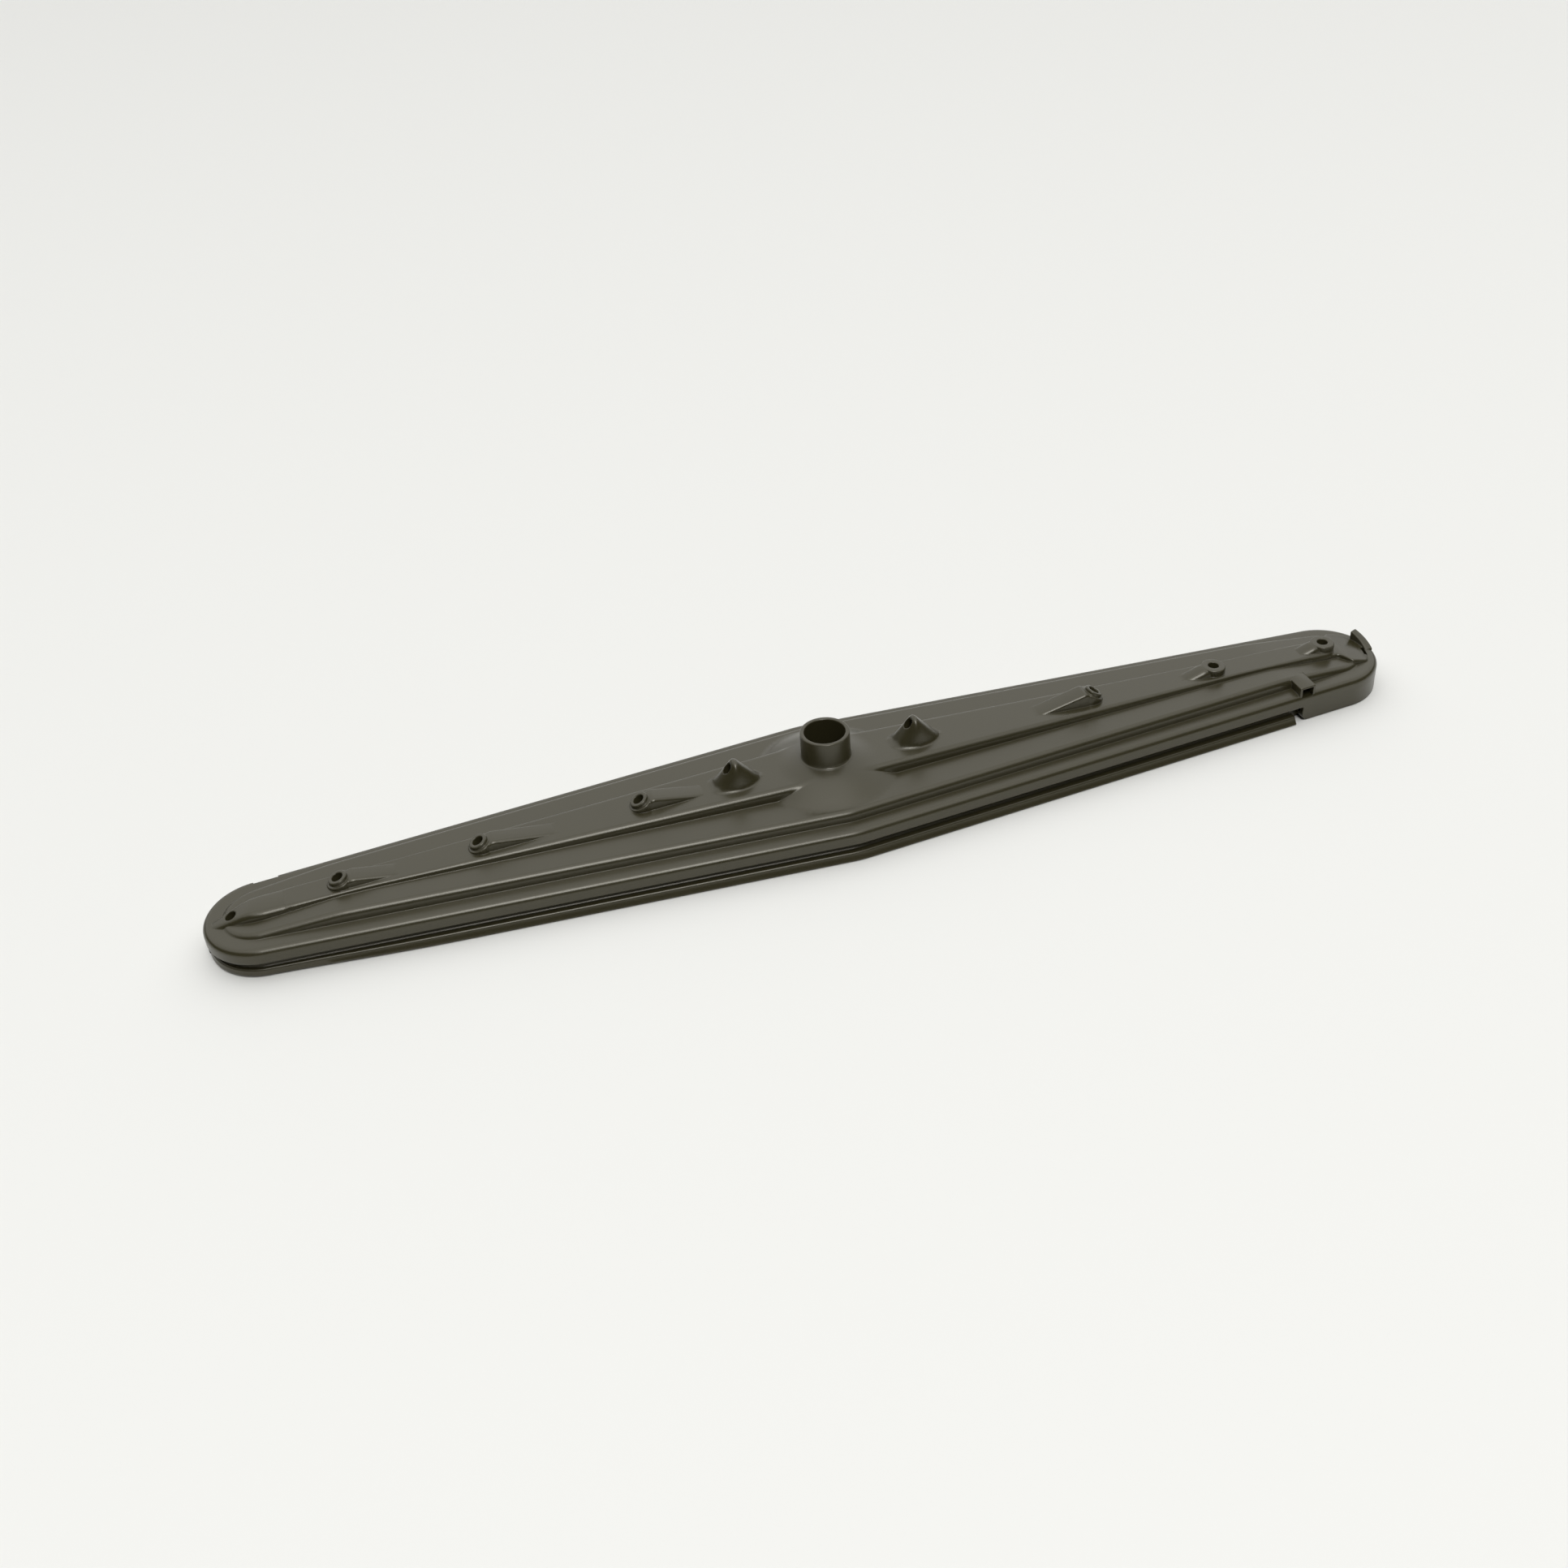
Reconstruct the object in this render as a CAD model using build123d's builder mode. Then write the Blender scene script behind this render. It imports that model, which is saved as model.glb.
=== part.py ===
"""Dishwasher spray arm: two moulded shells that lock together round a flat water space.

X runs along the arm, Y across it and Z up. The origin lies on the hub's axis, in the plane
that the arm rests on. All sizes are millimetres, all angles degrees.
"""

import os
from dataclasses import dataclass
from math import acos, atan, atan2, cos, degrees, hypot, radians, sin, tan

from build123d import *

# Plan outline of the rim: two tip arcs joined to two waist arcs by straight sides
ARM_LENGTH = 470.0
TIP_RADIUS = 20.9
HUB_WIDTH = 74.2
WAIST_RADIUS = 40.0

# Moulding
WALL = 1.8
DRAFT = 9.0
EDGE_ROUND = 1.4
CLEARANCE = 0.3

# Lower shell: outer flange, and the seal wall that carries the upper shell
FLANGE_RISE = 4.9
FLANGE_OVERHANG = 1.5
FLANGE_CHAMFER = 1.0
FOOT_CHAMFER = 0.8
SEAL_INSET = 4.5

# Upper shell: lip, rim and terrace, which falls towards the ends of the arm
SEAM_GAP = 3.6
LIP_DEPTH = 3.6
TERRACE_INSET = 7.0
TERRACE_RISE = 4.0
TERRACE_CHAMFER = 0.8
TERRACE_FALL_SETBACK = 48.0
TERRACE_END_RISE = 0.2
REGISTER_DEPTH = 2.0

# Raised channel along the middle: wide and high at the hub, then narrow and parallel.
# The neck and the two ends are set back from the ends of the arm.
CHANNEL_HUB_WIDTH = 26.8
CHANNEL_NECK_WIDTH = 11.4
CHANNEL_NECK_SETBACK = 59.0
CHANNEL_NECK_RADIUS = 150.0
CHANNEL_LEFT_SETBACK = 16.5
CHANNEL_RIGHT_SETBACK = 23.5
CHANNEL_HUB_RISE = 4.7
CHANNEL_END_RISE = 0.7

# Hub cone and feed spigot
CONE_FOOT_RADIUS = 28.0
CONE_RISE = 6.5
SPIGOT_RADIUS = 9.45
SPIGOT_BORE_RADIUS = 7.75
SPIGOT_LENGTH = 10.7
SPIGOT_LEDGE = 0.5
SPIGOT_CHAMFER = 0.5

# Jets: bore, round boss with or without a stepped collar, and the ridge over the duct from the hub side
JET_RADIUS = 2.1
COLLAR_RADIUS = 3.5
COLLAR_STEP = 1.4
BOSS_RADIUS = 4.8
JET_RISE = 3.2
RIDGE_LENGTH = 26.0
RIDGE_WIDTH = 7.2
RIDGE_FLANK = 80.0
RIDGE_ROUND = 1.0
RIDGE_SINK = 0.3
BOSS_ROOT = 1.4

# Each jet with a ridge: place as a share of half the arm, height of its mouth over the channel
# as a share of JET_RISE, lean from upright (positive towards +X), and the ridge as a share of RIDGE_LENGTH
COLLARED_JETS = (
    (-0.789, 0.97, -16.0, 0.85),
    (-0.571, 1.0, -22.0, 1.15),
    (-0.313, 1.03, -26.0, 1.0),
    (0.473, 1.19, 31.0, 1.0),
)
PLAIN_JETS = (
    (0.695, 0.84, 3.0, 0.5),
    (0.904, 0.69, 2.0, 0.46),
)

# Tall jets beside the hub: place, height of the mouth as a share of TALL_RISE, and lean
TALL_JETS = (
    (-0.166, 0.945, -33.0),
    (0.141, 1.055, -36.0),
)
TALL_RISE = 7.3
TALL_MOUTH_RADIUS = 3.8
TALL_FOOT_LENGTH = 23.0
TALL_FOOT_WIDTH = 10.4
TALL_FOOT_SHIFT = 2.4

# Ramps that run down to the rim at the tips: a straight one on the left, with a jet in it,
# and a fan-shaped one on the right
RAMP_LENGTH = 13.5
LEFT_RAMP_WIDTH = 11.0
RIGHT_RAMP_GAP = 0.2
RIGHT_RAMP_START_WIDTH = 14.0
RIGHT_RAMP_END_WIDTH = 24.0
RIGHT_RAMP_FLARE = 5.0
END_JET_RUN = 5.9

# Locks at two opposite corners: a skirt on the upper shell reaches down past a cut in the lower one
RIGHT_SKIRT_RUN = 43.0
LEFT_SKIRT_RUN = 19.5
TOE_REACH = 2.2
TOE_HEIGHT = 1.5
NOTCH_LENGTH = 9.2
NOTCH_DEPTH = 3.0

# Hooded drive jet over the start of the right-hand skirt
HOOD_SHIFT = 1.6
HOOD_WIDTH = 7.0
HOOD_MOUTH_WIDTH = 4.6
HOOD_ROOF = 1.0
HOOD_SILL_DROP = 0.9

# Fin on the right-hand tip, with a slot in front of it
FIN_THICKNESS = 3.2
FIN_SETBACK = 0.5
FIN_RISE = 3.6
FIN_START_ANGLE = -10.0
FIN_END_ANGLE = 23.0
SLOT_WIDTH = 1.3
SLOT_START_ANGLE = -22.0
SLOT_END_ANGLE = -3.0

# Levels
LIP_Z = FLANGE_RISE + SEAM_GAP
RIM_Z = LIP_Z + LIP_DEPTH
FLANGE_UNDERSIDE_Z = RIM_Z - WALL
TERRACE_Z = RIM_Z + TERRACE_RISE
CHANNEL_HUB_Z = TERRACE_Z + CHANNEL_HUB_RISE
CHANNEL_END_Z = TERRACE_Z + CHANNEL_END_RISE
SPIGOT_FOOT_Z = TERRACE_Z + CONE_RISE
SPIGOT_TOP_Z = SPIGOT_FOOT_Z + SPIGOT_LENGTH

# Places and slopes that follow from the sizes above
HALF_LENGTH = ARM_LENGTH / 2
TIP_X = HALF_LENGTH - TIP_RADIUS
TERRACE_FALL_X = HALF_LENGTH - TERRACE_FALL_SETBACK
CHANNEL_NECK_X = HALF_LENGTH - CHANNEL_NECK_SETBACK
CHANNEL_LEFT_END_X = HALF_LENGTH - CHANNEL_LEFT_SETBACK
CHANNEL_RIGHT_END_X = HALF_LENGTH - CHANNEL_RIGHT_SETBACK
RIGHT_SKIRT_X = HALF_LENGTH - RIGHT_SKIRT_RUN
LEFT_SKIRT_X = HALF_LENGTH - LEFT_SKIRT_RUN
HOOD_X = RIGHT_SKIRT_X + HOOD_SHIFT
WAIST_Y = HUB_WIDTH / 2 - WAIST_RADIUS
SIDE_RUN = hypot(TIP_X, WAIST_Y)
SIDE_ANGLE = degrees(acos((WAIST_RADIUS - TIP_RADIUS) / SIDE_RUN)) - degrees(atan2(WAIST_Y, TIP_X))
CHANNEL_FALL = (CHANNEL_HUB_Z - CHANNEL_END_Z) / TIP_X
CONE_SLOPE = atan(CONE_RISE / (CONE_FOOT_RADIUS - SPIGOT_RADIUS - SPIGOT_LEDGE))
NOSE_X = CHANNEL_RIGHT_END_X + CHANNEL_NECK_WIDTH / 2
HOOD_Z = TERRACE_Z - (TERRACE_RISE - TERRACE_END_RISE) * (HOOD_X - TERRACE_FALL_X) / TERRACE_FALL_SETBACK


def channel_z(x: float) -> float:
    """Height of the channel's top at a place along the arm."""
    return CHANNEL_HUB_Z - CHANNEL_FALL * abs(x)


def arm_outline(inset: float) -> Sketch:
    """The rim's outline, moved in by an inset."""
    normal = Vector(cos(radians(SIDE_ANGLE)), sin(radians(SIDE_ANGLE)))
    waist = Vector(0, WAIST_Y) + normal * (WAIST_RADIUS - inset)
    tip = Vector(TIP_X, 0) + normal * (TIP_RADIUS - inset)
    with BuildSketch() as outline:
        with BuildLine():
            CenterArc((0, WAIST_Y), WAIST_RADIUS - inset, SIDE_ANGLE, 90 - SIDE_ANGLE)
            Line(waist, tip)
            CenterArc((TIP_X, 0), TIP_RADIUS - inset, 0, SIDE_ANGLE)
            mirror(about=Plane.YZ)
            mirror(about=Plane.XZ)
        make_face()
    return outline.sketch


def channel_half(end_x: float, skin: float, rounding: float) -> Part:
    """Right-hand half of the raised channel up to a given end, moved in by a skin."""

    def foot(x: float, half_width: float) -> tuple[float, float]:
        rise = CHANNEL_HUB_Z - CHANNEL_FALL * x - skin - FLANGE_UNDERSIDE_Z
        return x, half_width - skin + rise * tan(radians(DRAFT))

    half_neck = CHANNEL_NECK_WIDTH / 2
    half_hub = CHANNEL_HUB_WIDTH / 2
    rear = (
        foot(HALF_LENGTH, half_neck),
        foot(CHANNEL_NECK_X, half_neck),
        foot(-CHANNEL_NECK_X, 2 * half_hub - half_neck),
    )
    end_z = channel_z(end_x) - skin
    with BuildPart() as channel:
        with BuildSketch(Plane.XY.offset(FLANGE_UNDERSIDE_Z)) as plan:
            with BuildLine():
                Polyline(*rear, *((x, -y) for x, y in reversed(rear)), close=True)
            make_face()
            fillet([v for v in plan.vertices() if abs(v.X - CHANNEL_NECK_X) < WALL], CHANNEL_NECK_RADIUS)
        extrude(amount=CHANNEL_HUB_Z - FLANGE_UNDERSIDE_Z, taper=DRAFT)
        with BuildSketch(Plane.XZ.offset(-HUB_WIDTH / 2)):
            with BuildLine():
                Polyline(
                    (0, FLANGE_UNDERSIDE_Z),
                    (end_x, FLANGE_UNDERSIDE_Z),
                    (end_x, end_z),
                    (0, CHANNEL_HUB_Z - skin),
                    close=True,
                )
            make_face()
        extrude(amount=HUB_WIDTH, mode=Mode.INTERSECT)
        if rounding > 0:
            slope = channel.faces().sort_by(Axis.Z)[-1]
            fillet([edge for edge in slope.edges() if abs(edge.center().Y) > WALL], rounding)
    return channel.part


@dataclass(frozen=True)
class Slope:
    """A plane that falls from one place to another on the way to a tip."""

    side: int
    start_x: float
    start_z: float
    end_x: float
    end_z: float

    def half_space(self, skin: float, above: bool) -> Part:
        """Slab over or under the slope, as wide as the arm and moved down by a skin."""
        far = SPIGOT_TOP_Z if above else FLANGE_UNDERSIDE_Z
        with BuildPart() as slab:
            with BuildSketch(Plane.XZ):
                with BuildLine():
                    Polyline(
                        (self.side * self.start_x, self.start_z - skin),
                        (self.side * self.end_x, self.end_z - skin),
                        (self.side * self.end_x, far),
                        (self.side * self.start_x, far),
                        close=True,
                    )
                make_face()
            extrude(amount=HUB_WIDTH, both=True)
        return slab.part


class Ramp(Slope):
    """A slope with an outline of its own, down to the rim."""

    def plan(self, margin: float) -> Sketch:
        """Outline of the slope seen from above, widened by a margin."""
        start_width = LEFT_RAMP_WIDTH if self.side < 0 else RIGHT_RAMP_START_WIDTH
        end_width = LEFT_RAMP_WIDTH if self.side < 0 else RIGHT_RAMP_END_WIDTH
        start = start_width / 2 + margin
        end = end_width / 2 + margin
        flare_x = self.start_x + RIGHT_RAMP_FLARE
        with BuildSketch() as outline:
            with BuildLine():
                Polyline(
                    (self.side * self.start_x, start),
                    (self.side * flare_x, end),
                    (self.side * self.end_x, end),
                    (self.side * self.end_x, -end),
                    (self.side * flare_x, -end),
                    (self.side * self.start_x, -start),
                    close=True,
                )
            make_face()
        return outline.sketch

    def block(self, skin: float, above: bool) -> Part:
        """What lies over or under the slope, within its own outline."""
        with BuildPart() as solid:
            with BuildSketch(Plane.XY.offset(FLANGE_UNDERSIDE_Z)):
                add(self.plan(skin))
                if not above:
                    add(arm_outline(FIN_SETBACK + FIN_THICKNESS), mode=Mode.INTERSECT)
            extrude(amount=SPIGOT_TOP_Z)
            add(self.half_space(skin, above), mode=Mode.INTERSECT)
        return solid.part


LEFT_RAMP_X = CHANNEL_LEFT_END_X
RIGHT_RAMP_X = NOSE_X + RIGHT_RAMP_GAP
RAMPS = (
    Ramp(-1, LEFT_RAMP_X, channel_z(LEFT_RAMP_X), LEFT_RAMP_X + RAMP_LENGTH, RIM_Z),
    Ramp(1, RIGHT_RAMP_X, TERRACE_Z, RIGHT_RAMP_X + RAMP_LENGTH, RIM_Z),
)
TERRACE_FALLS = (
    Slope(-1, TERRACE_FALL_X, TERRACE_Z, HALF_LENGTH, RIM_Z + TERRACE_END_RISE),
    Slope(1, TERRACE_FALL_X, TERRACE_Z, HALF_LENGTH, RIM_Z + TERRACE_END_RISE),
)


def raised_form(skin: float, rounding: float) -> Part:
    """Terrace, channel, tip ramps and hub cone, all moved in by a skin."""
    rise = TERRACE_Z - skin - FLANGE_UNDERSIDE_Z
    foot_inset = TERRACE_INSET - WALL * tan(radians(DRAFT)) + skin
    cone_drop = skin / cos(CONE_SLOPE)
    cone_top_radius = SPIGOT_BORE_RADIUS if skin > 0 else SPIGOT_RADIUS + SPIGOT_LEDGE
    cone_top_z = TERRACE_Z - cone_drop + (CONE_FOOT_RADIUS - cone_top_radius) * tan(CONE_SLOPE)
    with BuildPart() as form:
        # Terrace: the rim's own outline, stepped in
        with BuildSketch(Plane.XY.offset(FLANGE_UNDERSIDE_Z)):
            add(arm_outline(foot_inset))
        extrude(amount=rise, taper=DRAFT)
        if rounding > 0:
            chamfer(form.faces().sort_by(Axis.Z)[-1].edges(), TERRACE_CHAMFER)
        for fall in TERRACE_FALLS:
            add(fall.half_space(skin, above=True), mode=Mode.SUBTRACT)

        # Ramps: the terrace's noses are cut down to a slope
        for ramp in RAMPS:
            add(ramp.block(skin, above=True), mode=Mode.SUBTRACT)

        # Channel
        add(channel_half(CHANNEL_RIGHT_END_X, skin, rounding))
        mirror(channel_half(CHANNEL_LEFT_END_X, skin, rounding), about=Plane.YZ)

        # Hub cone
        with BuildSketch(Plane.XZ):
            with BuildLine():
                Polyline(
                    (0, FLANGE_UNDERSIDE_Z),
                    (CONE_FOOT_RADIUS, FLANGE_UNDERSIDE_Z),
                    (CONE_FOOT_RADIUS, TERRACE_Z - cone_drop),
                    (cone_top_radius, cone_top_z),
                    (0, cone_top_z),
                    close=True,
                )
            make_face()
        revolve(axis=Axis.Z)
    return form.part


def placed(jets: tuple, unit_rise: float) -> list[tuple[float, ...]]:
    """Jets of a table with their shares made lengths: place, rise, lean and, if there is one, ridge."""
    return [
        (share * HALF_LENGTH, height * unit_rise, lean, *(run * RIDGE_LENGTH for run in ridge))
        for share, height, lean, *ridge in jets
    ]


def jet_mouth(x: float, z: float, lean: float) -> Plane:
    """Plane of a jet's mouth, whose normal is the way that the water leaves."""
    across, along = cos(radians(lean)), sin(radians(lean))
    return Plane(origin=(x, 0, z), x_dir=(across, 0, -along), z_dir=(along, 0, across))


def jet_depth(rise: float, lean: float, radius: float) -> float:
    """Length along a leaning jet from its mouth to clear of the channel's inner face."""
    return (rise + 2 * WALL) / cos(radians(lean)) + radius * tan(radians(abs(lean)))


def feed_ridge(shoulder: Plane, inward: int, tail_x: float) -> Part:
    """Ridge over a feed duct: it falls from the raised edge of a boss until it sinks into the channel."""
    high = shoulder.from_local_coords(Vector(inward * BOSS_RADIUS, 0, 0))
    fall = Vector(tail_x, 0, channel_z(tail_x) - RIDGE_SINK) - high
    start = high - fall * (BOSS_RADIUS / abs(fall.X))
    root = channel_z(start.X) - BOSS_ROOT
    half = RIDGE_WIDTH / 2
    foot = half + (start.Z - root) / tan(radians(RIDGE_FLANK))
    with BuildPart() as ridge:
        with BuildSketch(Plane.YZ.offset(start.X)):
            with BuildLine():
                Polyline((-foot, root), (-half, start.Z), (half, start.Z), (foot, root), close=True)
            make_face()
        extrude(amount=fall.length + (high - start).length, dir=fall)
        fillet(ridge.edges().filter_by(Axis((0, 0, 0), fall)).sort_by(Axis.Z)[-2:], RIDGE_ROUND)
        split(bisect_by=shoulder, keep=Keep.BOTTOM)
    return ridge.part


def ridged_jet(x: float, rise: float, lean: float, ridge: float, step: float) -> Part:
    """Round boss that leans along its jet, with a collar above a step and the ridge over its feed duct."""
    mouth = jet_mouth(x, channel_z(x) + rise, lean)
    shoulder = mouth.offset(-step)
    depth = jet_depth(rise, lean, BOSS_RADIUS)
    inward = -1 if x > 0 else 1
    with BuildPart() as jet:
        if step > 0:
            with BuildSketch(mouth):
                Circle(COLLAR_RADIUS)
            extrude(amount=-depth)
        with BuildSketch(shoulder):
            Circle(BOSS_RADIUS)
        extrude(amount=-depth)
        split(bisect_by=Plane.XY.offset(channel_z(x) - BOSS_ROOT), keep=Keep.TOP)
        add(feed_ridge(shoulder, inward, x + inward * ridge))
    return jet.part


def tall_jet(x: float, rise: float, lean: float) -> Part:
    """Oval cone up to a leaning round mouth."""
    with BuildPart() as jet:
        with BuildSketch(Plane.XY.offset(channel_z(x) - BOSS_ROOT)) as foot:
            with Locations((x + TALL_FOOT_SHIFT, 0)):
                Ellipse(TALL_FOOT_LENGTH / 2, TALL_FOOT_WIDTH / 2)
        with BuildSketch(jet_mouth(x, channel_z(x) + rise, lean)) as top:
            Circle(TALL_MOUTH_RADIUS)
        loft(sections=[foot.sketch.face(), top.sketch.face()], ruled=True)
    return jet.part


def lock_region(start_x: float, margin: float) -> Sketch:
    """Quarter of the plan from a place on the right-hand front edge round to the tip."""
    with BuildSketch() as region:
        with Locations((start_x - margin, margin)):
            Rectangle(ARM_LENGTH, HUB_WIDTH, align=(Align.MIN, Align.MAX))
    return region.sketch


def lock_band(start_x: float, outer: float, inner: float, margin: float) -> Sketch:
    """Band along the rim between two insets, within the lock's quarter of the plan."""
    with BuildSketch() as band:
        add(arm_outline(outer))
        add(arm_outline(inner), mode=Mode.SUBTRACT)
        add(lock_region(start_x, margin), mode=Mode.INTERSECT)
    return band.sketch


def tip_sector(inner: float, outer: float, start: float, end: float) -> Sketch:
    """Part of a ring round the right-hand tip's centre, between two radii and two angles."""
    middle = (start + end) / 2

    def at(radius: float, angle: float) -> Vector:
        return Vector(TIP_X + radius * cos(radians(angle)), radius * sin(radians(angle)))

    with BuildSketch() as sector:
        with BuildLine():
            ThreePointArc(at(outer, start), at(outer, middle), at(outer, end))
            Line(at(outer, end), at(inner, end))
            ThreePointArc(at(inner, end), at(inner, middle), at(inner, start))
            Line(at(inner, start), at(outer, start))
        make_face()
    return sector.sketch


def tip_fin() -> Part:
    """Curved fin on the right-hand tip, whose top falls towards the front."""
    outer = TIP_RADIUS - FIN_SETBACK
    low_y = outer * sin(radians(FIN_START_ANGLE))
    high_y = outer * sin(radians(FIN_END_ANGLE))
    with BuildPart() as fin:
        with BuildSketch(Plane.XY.offset(FLANGE_UNDERSIDE_Z)):
            add(tip_sector(outer - FIN_THICKNESS, outer, FIN_START_ANGLE, FIN_END_ANGLE))
        extrude(amount=WALL + FIN_RISE)
        with BuildSketch(Plane.YZ):
            with BuildLine():
                Polyline(
                    (low_y, FLANGE_UNDERSIDE_Z),
                    (low_y, RIM_Z),
                    (high_y, RIM_Z + FIN_RISE),
                    (high_y, FLANGE_UNDERSIDE_Z),
                    close=True,
                )
            make_face()
        extrude(amount=ARM_LENGTH, mode=Mode.INTERSECT)
    return fin.part


LOCKS = ((RIGHT_SKIRT_X, 0.0), (LEFT_SKIRT_X, 180.0))

os.makedirs("parts", exist_ok=True)

with BuildPart() as upper_shell:
    # Rim with its lip, and the raised form on it
    with BuildSketch(Plane.XY.offset(LIP_Z)):
        add(arm_outline(0))
    extrude(amount=LIP_DEPTH)
    fillet(upper_shell.faces().sort_by(Axis.Z)[-1].edges(), EDGE_ROUND)
    add(raised_form(0, EDGE_ROUND))
    for ramp in RAMPS:
        add(ramp.block(0, above=False))

    # Nose that closes the channel's right-hand end
    nose_z = channel_z(CHANNEL_RIGHT_END_X)
    nose_foot_x = NOSE_X + (nose_z - FLANGE_UNDERSIDE_Z) * tan(radians(DRAFT))
    with BuildPart(mode=Mode.PRIVATE) as nose:
        with BuildSketch(Plane.XZ):
            with BuildLine():
                Polyline(
                    (CHANNEL_RIGHT_END_X, FLANGE_UNDERSIDE_Z),
                    (nose_foot_x, FLANGE_UNDERSIDE_Z),
                    (NOSE_X, nose_z - EDGE_ROUND),
                    (NOSE_X - EDGE_ROUND, nose_z),
                    (CHANNEL_RIGHT_END_X, nose_z),
                    close=True,
                )
            make_face()
        revolve(axis=Axis((CHANNEL_RIGHT_END_X, 0, 0), (0, 0, 1)))
    add(nose.part)

    # Skirts at the two locked corners, each with a toe that turns in under the lower shell
    for start_x, turn in LOCKS:
        with BuildPart(mode=Mode.PRIVATE) as skirt:
            with BuildSketch():
                add(lock_band(start_x, 0, WALL, 0))
            extrude(amount=RIM_Z - EDGE_ROUND)
            with BuildSketch():
                add(lock_band(start_x, 0, WALL + TOE_REACH, 0))
            extrude(amount=TOE_HEIGHT)
        add(skirt.part.rotate(Axis.Z, turn))

    # Hood of the drive jet: the terrace reaches out over the rim
    with BuildPart(mode=Mode.PRIVATE) as hood:
        with BuildSketch(Plane.XY.offset(FLANGE_UNDERSIDE_Z)):
            with Locations((HOOD_X, -WALL)):
                Rectangle(HOOD_WIDTH, HUB_WIDTH, align=(Align.CENTER, Align.MAX))
            add(arm_outline(FIN_SETBACK), mode=Mode.INTERSECT)
            add(arm_outline(TERRACE_INSET + 2 * WALL), mode=Mode.SUBTRACT)
        extrude(amount=HOOD_Z - FLANGE_UNDERSIDE_Z)
    add(hood.part)

    add(tip_fin())

    # Jets
    for jet in placed(COLLARED_JETS, JET_RISE):
        add(ridged_jet(*jet, step=COLLAR_STEP))
    for jet in placed(PLAIN_JETS, JET_RISE):
        add(ridged_jet(*jet, step=0))
    for jet in placed(TALL_JETS, TALL_RISE):
        add(tall_jet(*jet))

    # Spigot
    with BuildSketch(Plane.XY.offset(TERRACE_Z)):
        Circle(SPIGOT_RADIUS)
    extrude(amount=SPIGOT_TOP_Z - TERRACE_Z)

    # Hollow: under the rim, and inside the raised form
    with BuildSketch(Plane.XY.offset(LIP_Z)):
        add(arm_outline(WALL))
    extrude(amount=FLANGE_UNDERSIDE_Z - LIP_Z, mode=Mode.SUBTRACT)
    add(raised_form(WALL, 0), mode=Mode.SUBTRACT)
    with BuildSketch(Plane.XY.offset(FLANGE_UNDERSIDE_Z)):
        Circle(SPIGOT_BORE_RADIUS)
    extrude(amount=SPIGOT_TOP_Z - FLANGE_UNDERSIDE_Z, mode=Mode.SUBTRACT)
    chamfer(upper_shell.faces().sort_by(Axis.Z)[-1].edges(), SPIGOT_CHAMFER)

    # Register: a rib along each side that drops inside the lower shell's seal wall
    with BuildSketch(Plane.XY.offset(FLANGE_UNDERSIDE_Z)):
        add(arm_outline(SEAL_INSET + WALL + CLEARANCE))
        add(arm_outline(SEAL_INSET + 2 * WALL), mode=Mode.SUBTRACT)
        Rectangle(2 * CHANNEL_NECK_X, HUB_WIDTH, mode=Mode.INTERSECT)
    extrude(amount=-REGISTER_DEPTH)

    # Water ways through the jets
    ridged_jets = placed(COLLARED_JETS + PLAIN_JETS, JET_RISE)
    for x, rise, lean, *ridge in ridged_jets + placed(TALL_JETS, TALL_RISE):
        with BuildSketch(jet_mouth(x, channel_z(x) + rise, lean)):
            Circle(JET_RADIUS)
        extrude(amount=-jet_depth(rise, lean, JET_RADIUS), mode=Mode.SUBTRACT)
    end_lean = -degrees(atan2(RAMPS[0].start_z - RIM_Z, RAMP_LENGTH))
    end_x = -CHANNEL_LEFT_END_X - END_JET_RUN
    end_z = RAMPS[0].start_z + END_JET_RUN * tan(radians(end_lean))
    with BuildSketch(jet_mouth(end_x, end_z, end_lean)):
        Circle(JET_RADIUS)
    extrude(amount=-3 * WALL, mode=Mode.SUBTRACT)

    # Mouth of the drive jet
    with BuildSketch(Plane.XY.offset(RIM_Z - HOOD_SILL_DROP)):
        with Locations((HOOD_X, -WALL)):
            Rectangle(HOOD_MOUTH_WIDTH, HUB_WIDTH, align=(Align.CENTER, Align.MAX))
        add(arm_outline(TERRACE_INSET + 2 * WALL), mode=Mode.SUBTRACT)
    extrude(amount=HOOD_Z - HOOD_ROOF - RIM_Z + HOOD_SILL_DROP, mode=Mode.SUBTRACT)

    # Notch in the rim before the left-hand skirt, and the slot before the fin
    with BuildSketch(Plane.XY.offset(LIP_Z)):
        with Locations((-LEFT_SKIRT_X, 0)):
            Rectangle(NOTCH_LENGTH, HUB_WIDTH, align=(Align.MIN, Align.MIN))
        add(arm_outline(NOTCH_DEPTH), mode=Mode.SUBTRACT)
    extrude(amount=LIP_DEPTH, mode=Mode.SUBTRACT)
    fin_inner = TIP_RADIUS - FIN_SETBACK - FIN_THICKNESS
    with BuildSketch(Plane.XY.offset(FLANGE_UNDERSIDE_Z)):
        add(tip_sector(fin_inner - SLOT_WIDTH, fin_inner, SLOT_START_ANGLE, SLOT_END_ANGLE))
    extrude(amount=WALL + TERRACE_RISE, mode=Mode.SUBTRACT)

upper_shell.part.label = "upper_shell"
export_step(upper_shell.part, "parts/upper_shell.step")

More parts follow.
